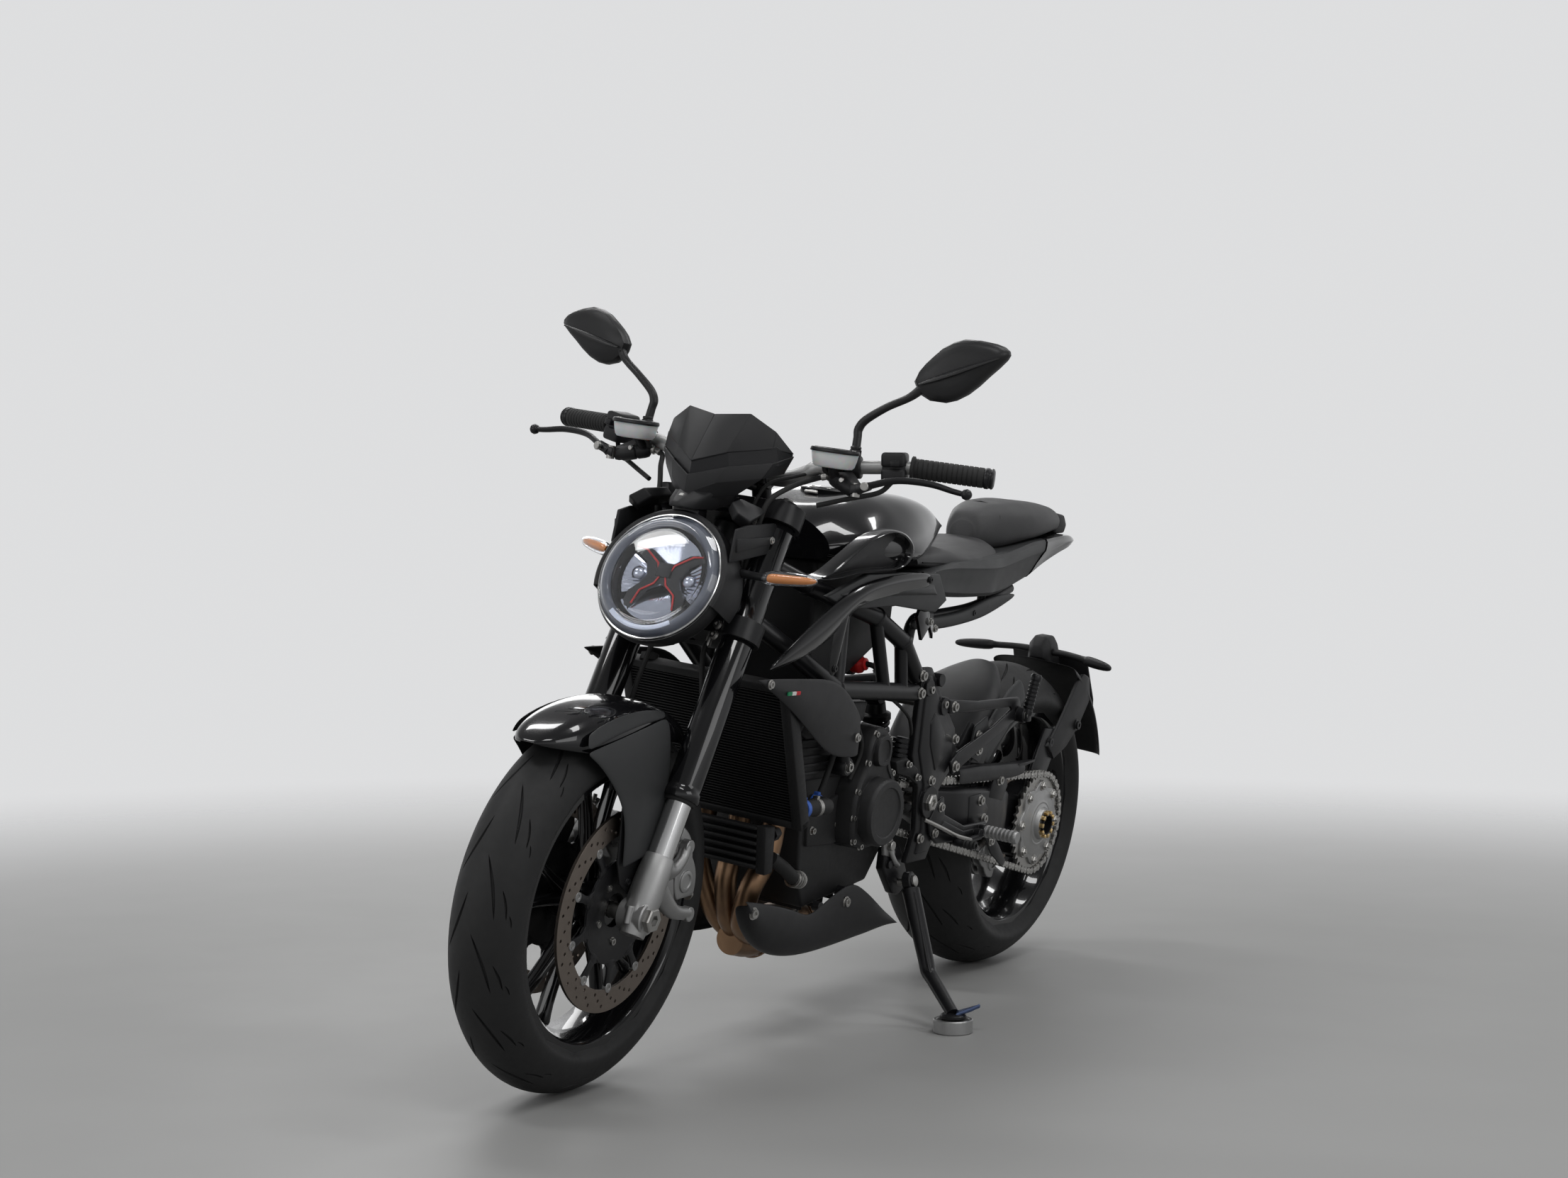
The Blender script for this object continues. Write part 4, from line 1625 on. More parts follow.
def rails():
    """Satin lower rails with the dark tubes of the subframe inside them."""
    stations = [(96, 748, 724), (161, 750, 722), (235, 754, 724), (309, 761, 731), (385, 780, 740), (450, 789, 756),
                (530, 791, 782)]
    rows = []
    for y, top, low in stations:
        t = (y - 96) / 434
        width = 6 + 5 * math.sin(math.pi * min(1, t + 0.2))
        mid = (top + low) / 2
        rows.append([Vector((86, y, top)), Vector((88 + width, y, top - 1)), Vector((91 + width, y, mid + 3)),
                     Vector((88 + width, y, low + 2)), Vector((85, y, low)), Vector((83, y, mid))])
    rail = softened(loft(rows, "cover_grey"), 2)
    piece("tail_rails", both([rail]), CHASSIS)
    tube = pipe([(70, 140, 618), (70, 136, 700), (72, 146, 738), (70, 200, 745), (70, 360, 757), (66, 470, 775),
                 (60, 560, 796)], 11, "frame", 18)
    posts = [disc((70, y, z), 8, 0, 62, "frame", (0, 0, 1), 20) for y, z in ((180, 744), (420, 772))]
    mount = disc((100, 140, 630), 12, -30, 29, "frame", steps=28)
    cross = disc((0, 530, 790), 8, -64, 64, "frame", steps=24)
    piece("subframe_tubes", both([tube, mount] + posts) + [cross], CHASSIS, "subframe")
    screws("rail_screws", both_flanks([(97, 180, 738), (98, 340, 754)]), CHASSIS, "frame", head=5.5, height=3)


tank()
scoops()
wings()
seats()
tail()
rails()


# Engine, cooling, frame and headers

PIVOT = (150, 412)                # the swingarm's pivot, as (y, z)
SHOCK_TOP = (166, 590)            # the shock's upper bolt
SHOCK_FOOT = (205, 395)           # and its lower one


def engine():
    case = [(-232, 474), (-150, 520), (-60, 540), (40, 548), (108, 498), (110, 362), (60, 300), (34, 268), (-186, 244),
            (-212, 302), (-222, 400)]
    castings = [eased(prism(case, -98, 98, "casing"), 6, 3)]
    skirt = [(-214, 412), (-120, 440), (40, 446), (104, 470), (104, 396), (40, 372), (-120, 352), (-206, 356)]
    castings.append(eased(prism(skirt, -105.5, 105.5, "casing"), 3, 2))
    cylinders = [(-262, 474), (-104, 474), (-70, 596), (-244, 604), (-284, 560)]
    castings.append(eased(prism(cylinders, -108, 108, "casing"), 5, 3))
    for k in range(5):
        t = k / 4
        low = Vector((0, -262 - 12 * t, 486 + 56 * t))
        castings.append(eased(prism([(low.y, low.z), (-106 + 22 * t, low.z), (-105 + 22 * t, low.z + 5),
                                     (low.y, low.z + 5)], -112, 112, "casing"), 1))
    head = [(-286, 560), (-250, 611), (-64, 605), (-72, 572), (-100, 556), (-262, 548)]
    castings.append(eased(prism(head, -113.5, 113.5, "casing"), 4, 3))
    for k in range(6):
        y = -170 + k * 36
        castings.append(eased(block((-86, y, 236 + k * 2), (86, y + 6, 262), "casing"), 1.2))
    castings.append(lathe([(110, 0), (110, 17), (116, 17), (118, 14), (118, 6), (114, 5), (114, 0)], (0, -228, 584),
                          "casing"))
    castings.append(lathe([(-118, 0), (-118, 17), (-110, 17), (-110, 0)], (0, -228, 584), "casing"))
    piece("crankcase_castings", castings, CHASSIS, "engine_block", crease=30)
    spots = [(106, y, z) for y, z in ((-196, 384), (-110, 388), (-200, 420), (60, 458), (84, 440))]
    spots += [(114, y, z) for y, z in ((-252, 574), (-190, 596), (-130, 590))]
    screws("crankcase_screws", both_flanks(spots), CHASSIS, head=5.5, height=6)


def cover_plate(outline, low, high, inset, centre, side=1):
    """A side cover: a drafted wall, a rounded shoulder and a dished face that starts at an inset share."""
    line = closed_curve([(0, y, z) for y, z in outline], 4)
    mid = Vector((0, *centre))

    def ring(scale, x):
        return [Vector((side * x, *(mid + (p - mid) * scale).yz)) for p in line]

    return loft([ring(*r) for r in ((1.0, low), (0.985, high - 8), (0.96, high - 3), (0.92, high), (inset, high),
                                    (inset - 0.03, high - 2.5), (inset - 0.3, high - 3.5), (0.1, high - 4))],
                "casing")


def round_spots(centre, radius, count, shift=0):
    """Points (y, z) round a centre, the first one to its rear."""
    return [(centre[0] + radius * math.cos(a), centre[1] + radius * math.sin(a)) for a in round_angles(count, shift)]


def round_cover(centre, radius, count, low, high, inset, side=1):
    return cover_plate(round_spots(centre, radius, count), low, high, inset, centre, side)


def engine_covers():
    left = [(-118, 404), (-110, 360), (-78, 344), (-42, 343), (4, 352), (33, 388), (34, 430), (18, 470),
            (-6, 500), (-10, 540), (-34, 562), (-66, 558), (-84, 532), (-90, 496), (-108, 462), (-118, 436)]
    base = cover_plate(left, 98, 142, 0.8, (-42, 440))
    drum = cover_plate([(-42 + 64 * math.cos(a), 412 + 62 * math.sin(a)) for a in round_angles(14)], 130, 167, 0.74,
                       (-42, 412))
    plate = cover_plate([(-74, 530), (-58, 548), (-34, 548), (-20, 530), (-22, 500), (-40, 492), (-66, 498)], 130,
                        150, 0.7, (-46, 520))
    gate = eased(plank([(132, 34, 492), (140, 60, 500), (146, 96, 478), (146, 104, 446), (138, 80, 462),
                        (132, 44, 470)],
                       [(110, 34, 492), (110, 60, 500), (112, 92, 482), (112, 98, 464), (110, 80, 464),
                        (110, 44, 470)], "casing"), 3)
    coil = [lathe([(-3, 12), (-3, 17), (3, 17), (3, 12)], (118, 66, 474 + k * 9), "frame", (0.05, 0.12, 1), 28)
            for k in range(7)]
    core = disc((118, 64, 472), 13, 0, 62, "frame", (0.05, 0.12, 1), 28)
    clutch, pump_at = (10, 400), (-110, 372)
    right = round_cover(clutch, 86, 16, 98, 157, 0.84, -1)
    hub = round_cover(clutch, 56, 14, 150, 167, 0.72, -1)
    pump = round_cover(pump_at, 46, 12, 98, 149, 0.7, -1)
    spout = pipe([(-128, -140, 392), (-134, -176, 412), (-128, -210, 424)], 13, "casing", 18)
    cap = lathe([(-158, 0), (-158, 15), (-150, 17), (-140, 17), (-140, 0)], (0, 62, 462), "casing", (1, 0, 0), 10)
    piece("engine_side_covers", [base, drum, plate, gate, right, hub, pump, spout, cap], CHASSIS, "engine_covers",
          crease=28)
    piece("ignition_coil_stack", coil + [core], CHASSIS)
    rim = [(-112, 404), (-104, 362), (-76, 350), (-6, 352), (28, 388), (29, 432), (10, 476), (-16, 540), (-66, 550),
           (-84, 500), (-108, 450)]
    spots = facing_left([(137, y, z) for y, z in rim])
    spots += [((-150, y, z), (-1, 0, 0)) for y, z in round_spots(clutch, 80, 9, 0.5)]
    spots += [((-143, y, z), (-1, 0, 0)) for y, z in round_spots(pump_at, 41, 5)]
    spots += facing_left([(142, 62, 488), (146, 96, 462)])
    screws("cover_screws", spots, CHASSIS, head=5.2, height=6)


def bar_recipe(finish):
    """Bars laid across the machine, for cooler fins."""
    r = Recipe("bars_" + finish, length=320.0, wide=3.0, deep=12.0, tilt=0.24)
    bar = r.node("GeometryNodeMeshCube", Size=r.vector(X=r.size("length"), Y=r.size("deep"), Z=r.size("wide")))
    r.finish(r.on_points(r.start.outputs[0], bar, Rotation=r.vector(X=r.size("tilt"))), finish)
    return r


def cooling():
    top, low = Vector((0, -434, 652)), Vector((0, -336, 408))
    run = (low - top).normalized()
    back = Vector((0, 0.925, 0.37)).normalized()

    def bar(x0, x1, a, b, near, far, finish="cooler", ease=3):
        corners = [top + run * down + back * deep for down, deep in ((a, near), (b, near), (b, far), (a, far))]
        return eased(prism([(p.y, p.z) for p in corners], x0, x1, finish), ease, 2)

    surround = [bar(-168, -148, 0, 263, -2, 25), bar(148, 168, 0, 263, -2, 25), bar(-168, 168, 0, 14, 0, 24),
                bar(-168, 168, 249, 263, 0, 24), bar(-148, 148, 8, 255, 9, 18, "lamp_black", 0.5)]
    fins = [top + run * (16 + 5.2 * k) + back * 8 for k in range(45)]
    filler = pipe([(-120, -418, 652), (-122, -414, 664)], [17, 15], "cooler", 20)
    cooler = [eased(prism([(-370, 410), (-338, 408), (-331, 327), (-357, 325)], a, b, "cooler"), 4, 2)
              for a, b in ((-118, -98), (98, 118))]
    cooler.append(eased(prism([(-357, 404), (-343, 404), (-338, 330), (-349, 330)], -99, 99, "lamp_black"), 0.6, 1))
    for k in range(6):
        z = 337 + k * 13.2
        y = -351.5 - 10.5 * (z - 326) / 82
        cooler.append(eased(block((-100, y - 9, z - 3.4), (100, y + 9, z + 3.4), "cooler"), 3, 2))
    union = [lathe([(-4, 0), (-4, 12), (10, 12), (12, 9), (16, 9), (16, 0)], (s * 108, -330, 392), "frame",
                   (0, 1, 0.1), 6) for s in (1, -1)]
    piece("radiator_frame", surround + [filler] + cooler + union, CHASSIS, "radiator")
    grown("radiator_fins", bar_recipe("cooler"), fins, CHASSIS, length=300.0, wide=1.6, deep=14.0, tilt=0.38)
    edge = [((-540, 672), (-520, 662)), ((-500, 673), (-470, 640)), ((-440, 671), (-405, 606)),
            ((-370, 668), (-345, 567)), ((-292, 664), (-285, 533)), ((-236, 634), (-232, 526)),
            ((-199, 603), (-196, 524)), ((-186, 590), (-180, 527))]
    rows = []
    for k, (a, b) in enumerate(edge):
        t = k / (len(edge) - 1)
        full = 10 * math.sin(math.pi * min(1, 0.15 + t * 0.8))
        p, q = Vector((170, *a)), Vector((169, *b))
        rows.append([p.lerp(q, u) + Vector((full * math.sin(math.pi * (0.15 + 0.7 * u)), 0, 0))
                     for u in (0, 0.08, 0.3, 0.55, 0.8, 0.95, 1)])
    shroud = softened(thick(sheet(rows, "satin"), 4), 2)
    piece("shroud_panels", both([shroud]), CHASSIS, "radiator_shrouds")
    bands = []
    for k, finish in enumerate(("stripe_green", "stripe_white", "stripe_red")):
        y0, y1 = -455 + 13 * k, -442.6 + 13 * k
        bands.append(eased(plank([(181.0, y0, 650 - 0.1 * k), (181.0, y1, 650 - 0.1 * k), (180.4, y1, 644),
                                  (180.4, y0, 644)],
                                 [(178, y0, 650), (178, y1, 650), (178, y1, 644), (178, y0, 644)], finish), 0.3, 1))
    piece("shroud_stripes", bands, CHASSIS)
    screws("shroud_screws", both_flanks([(176, -505, 664), (178, -205, 560)]), CHASSIS, head=6, height=4)


def hoses():
    main = pipe([(146, -322, 440), (146, -262, 439), (144, -226, 437), (128, -214, 436), (106.5, -214, 436)], 14,
                "hose", 24)
    clips = []
    for at, way, finish in (((146, -306, 440), (0, 1, 0), "blue_clip"), ((146, -264, 439), (0, 1, 0), "steel"),
                            ((118, -214, 436), (1, 0, 0), "blue_clip")):
        clips.append(lathe([(-5, 14), (-5, 16), (5, 16), (5, 14)], at, finish, way, 32))
        screw = Vector(at) + Vector((0, 0, 17))
        clips.append(eased(block(screw - Vector((5, 4, 3)), screw + Vector((5, 4, 3)), finish), 1))
    piece("coolant_hose_lines", [main] + clips, CHASSIS, "coolant_hoses")
    elbow = pipe([(104, -318, 348), (110, -286, 330), (112, -250, 308), (104, -222, 300), (92, -200, 304)], 12,
                 "hose", 20)
    ribs = [lathe([(-2.4, 12), (-2.4, 15.5), (2.4, 15.5), (2.4, 12)], (111 - 1.5 * k, -250 + 9 * k, 307 - 2 * k),
                  "steel", (-0.15 * k, 1, -0.35), 28) for k in range(4)]
    cables = [pipe([(118, -150, 602), (132, -120, 560), (128, -96, 520), (120, -110, 470)], 4, "hose", 10),
              pipe([(112, -60, 640), (140, 20, 590), (138, 60, 560), (128, 84, 520), (124, 60, 470)], 3.4, "hose", 10),
              pipe([(90, -250, 640), (126, -214, 600), (132, -196, 540), (120, -200, 470), (112, -220, 420)], 5,
                   "hose", 12),
              pipe([(126, 96, 600), (138, 118, 560), (132, 122, 500), (124, 100, 450)], 3, "hose", 10)]
    cap = lathe([(-6, 0), (-6, 15), (6, 17), (12, 16), (16, 12), (22, 11), (24, 0)], (60, -31, 662), "red_trim",
                (1, 0, 0.15), 28)
    base = lathe([(-16, 0), (-16, 19), (-5, 19), (-5, 0)], (60, -31, 662), "hose", (1, 0, 0.15), 28)
    lead = pipe([(82, -31, 666), (98, -26, 662), (104, 0, 640), (96, 30, 610)], 5, "hose", 12)
    piece("engine_lines", [elbow, base, lead] + ribs + cables, CHASSIS)
    piece("plug_cap", [cap], CHASSIS)
    bracket = [eased(prism([(36, 352), (62, 356), (78, 336), (70, 312), (44, 318)], 118, 126, "silver"), 2),
               disc((124, 56, 336), 9, -6, 12, "steel", steps=24), disc((124, 68, 322), 5, -4, 8, "silver", steps=20),
               pipe([(126, 60, 330), (132, 74, 306), (130, 92, 296)], 5, "silver", 12)]
    piece("stand_switch_bracket", bracket, CHASSIS)


def headers():
    shapes = []
    for x in (-70, 0, 70):
        bulge = -288 - 0.25 * x
        route = [(x, -258, 528), (x, -282, 506), (x, -288, 480), (x, -268, 430), (x, -264, 390), (x, -278, 335),
                 (0.85 * x, bulge + 2, 280), (0.55 * x, bulge + 26, 215), (0.3 * x, -210, 182), (0.22 * x, -180, 176)]
        shapes.append(pipe(route, 19.5, "header", 28, 7))
        shapes.append(lathe([(-5, 19), (-5, 27), (3, 27), (3, 19)], (x, -266, 521), "steel", (0, -0.75, -0.66), 32))
        shapes.append(lathe([(-9, 19.8), (-9, 22), (9, 22), (9, 19.8)], (x, -277, 340), "silver", (0, -0.2, -1), 8))
        shapes.append(eased(block((x + 8, -308, 328), (x + 22, -298, 352), "silver"), 1.5))
    shapes.append(lathe([(-30, 0), (-30, 26), (10, 36), (40, 40), (120, 42), (180, 42), (222, 38), (240, 33),
                         (240, 0)], (0, -224, 176), "header", Vector((-20, 234, 0)).normalized(), 48))
    weld = [lathe([(-2, 40.5), (-2, 43.5), (2, 43.5), (2, 40.5)], (-20 * t, -224 + 234 * t, 176), "header",
                  Vector((-20, 234, 0)).normalized(), 48) for t in (0.2, 0.92)]
    sensor = lathe([(0, 0), (0, 9), (12, 9), (12, 6), (34, 6), (38, 4), (38, 0)], (30, -120, 196), "steel",
                   (0.6, -0.1, 0.78), 12)
    piece("header_pipes", shapes + weld + [sensor], CHASSIS, "exhaust_headers")


def belly_pan():
    stations = [(-414, 291, 282), (-398, 288, 250), (-365, 282, 216), (-320, 272, 190), (-268, 260, 175),
                (-226, 246, 169), (-196, 238, 167), (-160, 250, 166), (-125, 263, 166), (-60, 284, 168),
                (-10, 262, 171), (30, 240, 173), (60, 221, 176), (96, 201, 180), (128, 184, 181)]

    def side(mirror, last):
        rows = []
        for y, top, low in stations:
            if y > last:
                break
            row = []
            for u, x in ((0, 122), (0.06, 124), (0.3, 127.5), (0.6, 128), (0.85, 123), (1.0, 114)):
                row.append(Vector((x * mirror, y, top + (low - top) * u)))
            row.append(Vector((96 * mirror, y + 4, low - 5)))
            rows.append(row)
        return softened(thick(sheet(rows if mirror > 0 else [r[::-1] for r in rows], "satin"), 3.4), 2)

    pegs = both([disc((114, y, z), 9, -7.5, 8, "frame", steps=28) for y, z in ((-80, 266), (-160, 248))])
    piece("belly_pan_panels", [side(1, 200), side(-1, 62)] + pegs, CHASSIS, "belly_pan")
    screws("belly_pan_screws", mirrored_places([((126.5, -392, 268), (1, -0.1, 0)), ((126.5, -80, 248), (1, 0, 0))]),
           CHASSIS, head=8, height=5)


def side_plates():
    plate = [(74.5, 600), (74.5, 664), (110, 664), (165, 606), (232, 545), (250, 480), (196, 430), (205, 350),
             (176, 300), (100, 300), (122, 360), (110, 440), (74.5, 500)]
    wall = eased(prism(plate, 130, 143, "frame"), 3, 3)
    rib = eased(prism([(90, 590), (92, 650), (106, 650), (150, 600), (212, 540), (228, 486), (186, 440), (190, 352),
                       (170, 316), (128, 314), (140, 362), (126, 446), (92, 510)], 140, 147, "frame"), 3.5, 3)
    pocket = eased(prism([(120, 560), (134, 580), (180, 540), (196, 498), (160, 470), (128, 520)], 145.5, 149,
                         "frame"), 2, 2)
    bosses = [disc((138, y, z), r, -8, 13, "frame", steps=40) for y, z, r in
              ((*PIVOT, 30), (*SHOCK_TOP, 17), (96, 628, 16), (140, 640, 12))]
    nut = lathe([(149, 0), (149, 17), (157, 17), (159, 14), (159, 8), (154, 7), (154, 0)], (0, *PIVOT),
                "steel", steps=6)
    shafts = [disc((0, *PIVOT), 12, -129, 129, "steel", steps=32),
              disc((0, *SHOCK_TOP), 10, -129, 129, "steel", steps=32)]
    piece("side_plate_castings", both([wall, rib, pocket, nut] + bosses) + shafts, CHASSIS, "frame_plates", crease=28)
    spots = [(103, 624), (165, 594), (226, 525), (150, 452), (132, 345), (190, 400)]
    screws("side_plate_screws", both_flanks([(147.5, y, z) for y, z in spots]), CHASSIS, head=7, height=6)
    joints = (((136, -223, 637), (0, 1, -0.06)), ((130, -102, 758), (0, 0.9, -0.42)),
              ((136, -6, 714), (0, 0.75, -0.66)), ((100, -300, 812), (0.2, 0.95, -0.3)))
    welds = [lathe([(-5, 15.4), (-3, 18.2), (3, 18.2), (5, 15.4)], at, "frame", Vector(way).normalized(), 32)
             for at, way in joints]
    feet = [lathe([(-16, 0), (-16, 15), (-12, 18), (12, 18), (16, 15), (16, 0)], (128, -162, 500), "frame",
                  (1, 0, 0), 32)]
    piece("frame_welds", both(welds + feet), CHASSIS)
    screws("frame_screws", both_flanks([(144, -162, 500), (152, 58, 652), (152, 58, 620)]), CHASSIS, head=8, height=6)


engine()
engine_covers()
cooling()
hoses()
headers()
belly_pan()
side_plates()


# Swingarm, chain, rear wheel fittings, guards, footrests, stand and silencer

CHAIN_PITCH = 15.875
FRONT_TEETH, REAR_TEETH = 16, 40
SPROCKET_AT = Vector((118.5, 62, 406))
PUCK_AT = (167.724, -2.966)       # where the puck's middle stands in the row frame, as (x, y)


def link_recipe(finish):
    """Chain links in the machine's own axes: a roller or pin between two waisted plates."""
    r = Recipe("links_" + finish, pitch=CHAIN_PITCH, spread=4.0, plate=1.8, wide=6.8, core=5.0, reach=10.0)
    spread, plate, wide = r.size("spread"), r.size("plate"), r.size("wide")
    half = r.times(r.size("pitch"), 0.5)
    across = r.vector(Y=math.pi / 2)
    parts = []
    for way in (-1.0, 1.0):
        at = r.times(half, way)
        for side in (-1.0, 1.0):
            parts.append(r.placed(r.cylinder(18, wide, plate), Translation=r.vector(X=r.times(spread, side), Y=at),
                                  Rotation=across))
        parts.append(r.placed(r.cylinder(16, r.size("core"), r.size("reach")), Translation=r.vector(Y=at),
                              Rotation=across))
    for side in (-1.0, 1.0):
        waist = r.node("GeometryNodeMeshCube", Size=r.vector(X=r.times(plate, 0.9), Y=r.size("pitch"),
                                                             Z=r.times(wide, 1.35)))
        parts.append(r.placed(waist, Translation=r.vector(X=r.times(spread, side))))
    r.finish(r.on_points(r.start.outputs[0], r.joined(*parts), Rotation=r.facing("Y", pivot_axis="X")), finish)
    return r


def pitch_radius(teeth):
    return CHAIN_PITCH / (2 * math.sin(math.pi / teeth))


def chain():
    """Links laid round the two sprockets at their pitch."""
    front, rear = SPROCKET_AT, Vector((SPROCKET_AT.x, REAR_AXLE.y, REAR_AXLE.z))
    small, big = pitch_radius(FRONT_TEETH), pitch_radius(REAR_TEETH)
    span = (rear - front).length
    tilt = math.atan2(rear.z - front.z, rear.y - front.y)
    wrap = math.atan2(big - small, math.sqrt(span ** 2 - (big - small) ** 2))
    up, down = tilt + math.pi / 2 + wrap, tilt - math.pi / 2 - wrap

    def on(centre, radius, angle):
        return centre + Vector((0, radius * math.cos(angle), radius * math.sin(angle)))

    path = [on(rear, big, up + (down - up) * k / 200) for k in range(201)]
    path += [on(front, small, down + (up - 2 * math.pi - down) * k / 100) for k in range(101)]
    path.append(path[0])
    lengths = [0.0]
    for a, b in zip(path, path[1:]):
        lengths.append(lengths[-1] + (b - a).length)
    count = 2 * round(lengths[-1] / CHAIN_PITCH / 2)
    step = lengths[-1] / count

    def along(s):
        s %= lengths[-1]
        k = min(int(np.searchsorted(lengths, s, side="right")) - 1, len(path) - 2)
        t = (s - lengths[k]) / (lengths[k + 1] - lengths[k])
        return path[k].lerp(path[k + 1], t)

    inner, outer = [], []
    for k in range(count):
        a, b = along(k * step), along((k + 1) * step)
        (inner if k % 2 else outer).append(((a + b) / 2, b - a))
    links = link_recipe("steel")
    grown("chain_inner_links", links, [p for p, _ in inner], CHASSIS, facing=[w for _, w in inner], spread=5.2,
          reach=8.6, pitch=step, replaces="chain")
    grown("chain_outer_links", links, [p for p, _ in outer], CHASSIS, facing=[w for _, w in outer], spread=7.6,
          core=2.7, reach=18.4, pitch=step)
    wheel = toothed(front, small, FRONT_TEETH, 115.2, 121.8)
    middle = Vector((0, front.y, front.z))
    shaft = lathe([(106.5, 0), (106.5, 12), (126, 12), (127, 10), (127, 0)], middle, "steel", steps=24)
    nut = lathe([(121.8, 12), (121.8, 20), (126, 20), (126, 12)], middle, "steel", steps=6)
    piece("drive_sprocket", [wheel, shaft, nut], CHASSIS)


def toothed(centre, pitch_r, teeth, low, high):
    """A sprocket blank with rounded gaps between its teeth."""
    tooth = ((0.0, -5.6), (0.17, -4.4), (0.3, -1.0), (0.42, 3.2), (0.5, 4.2), (0.58, 3.2), (0.7, -1.0), (0.83, -4.4))
    outline = []
    for start in round_angles(teeth):
        for turn, rise in tooth:
            a = start + 2 * math.pi * turn / teeth
            outline.append((centre.y + (pitch_r + rise) * math.cos(a), centre.z + (pitch_r + rise) * math.sin(a)))
    return prism(outline, low, high, "steel")


def wheel_fittings():
    ring = toothed(REAR_AXLE, pitch_radius(REAR_TEETH), REAR_TEETH, 115.3, 121.7)
    outline = []
    for a in round_angles(160):
        radius = 76 + 12 * (0.5 + 0.5 * math.cos(8 * a)) ** 0.7
        outline.append((REAR_AXLE.y + radius * math.cos(a), REAR_AXLE.z + radius * math.sin(a)))
    spider = eased(prism(outline, 121.2, 126, "silver"), 1.5, 2, 50)
    dish = lathe([(121, 34), (130, 38), (131, 44), (128, 50), (127, 66), (126, 68), (121, 68)], REAR_AXLE, "silver")
    nuts = []
    for a in round_angles(8):
        at = REAR_AXLE + Vector((0, 78 * math.cos(a), 78 * math.sin(a)))
        nuts.append(lathe([(124, 0), (124, 9), (130, 9), (131.5, 7.4), (131.5, 4.4), (134, 4), (134, 0)],
                          at, "steel", steps=6))
        nuts.append(lathe([(125, 6), (125, 11), (127.2, 11), (127.2, 6)], at, "steel", steps=24))
    collar = lathe([(115, 21.4), (121, 24), (121, 40), (129, 42), (131, 40), (133, 34), (140, 32), (142, 30.5),
                    (142, 21.4)], REAR_AXLE, "silver")
    castle = [lathe([(130, 21.6), (130, 29), (138, 29), (140, 27.5), (140, 21.6)], REAR_AXLE, "gold", steps=64)]
    for a in round_angles(10):
        tab = [(REAR_AXLE.y + r * math.cos(a + t), REAR_AXLE.z + r * math.sin(a + t)) for r, t in
               ((21.8, -0.18), (28.6, -0.15), (28.6, 0.15), (21.8, 0.18))]
        castle.append(eased(prism(tab, 139.5, 150.5, "gold"), 0.8))
    bore = lathe([(-92, 19), (-92, 21.4), (148, 21.4), (148, 19)], REAR_AXLE, "frame", steps=48)
    piece("rear_sprocket_set", [ring, spider, dish, collar, bore] + nuts + castle, REAR_WHEEL, "rear_sprocket",
          crease=30)
    cap = lathe([(-104, 0), (-104, 20), (-101, 26), (-94, 30), (-90, 30), (-90, 0)], REAR_AXLE, "frame", steps=48)
    star = lathe([(-109, 0), (-109, 15), (-103, 16), (-103, 0)], REAR_AXLE, "steel", steps=6)
    piece("rear_hub_cap", [cap, star], REAR_WHEEL)
    lean = 1.1
    valve = pipe([REAR_AXLE + Vector((x, r * math.sin(lean), r * math.cos(lean))) for x, r in ((-22, 196), (-24, 168))],
                 [4.4, 3], "steel", 12, smooth=False)
    piece("rear_valve", [valve], REAR_WHEEL)


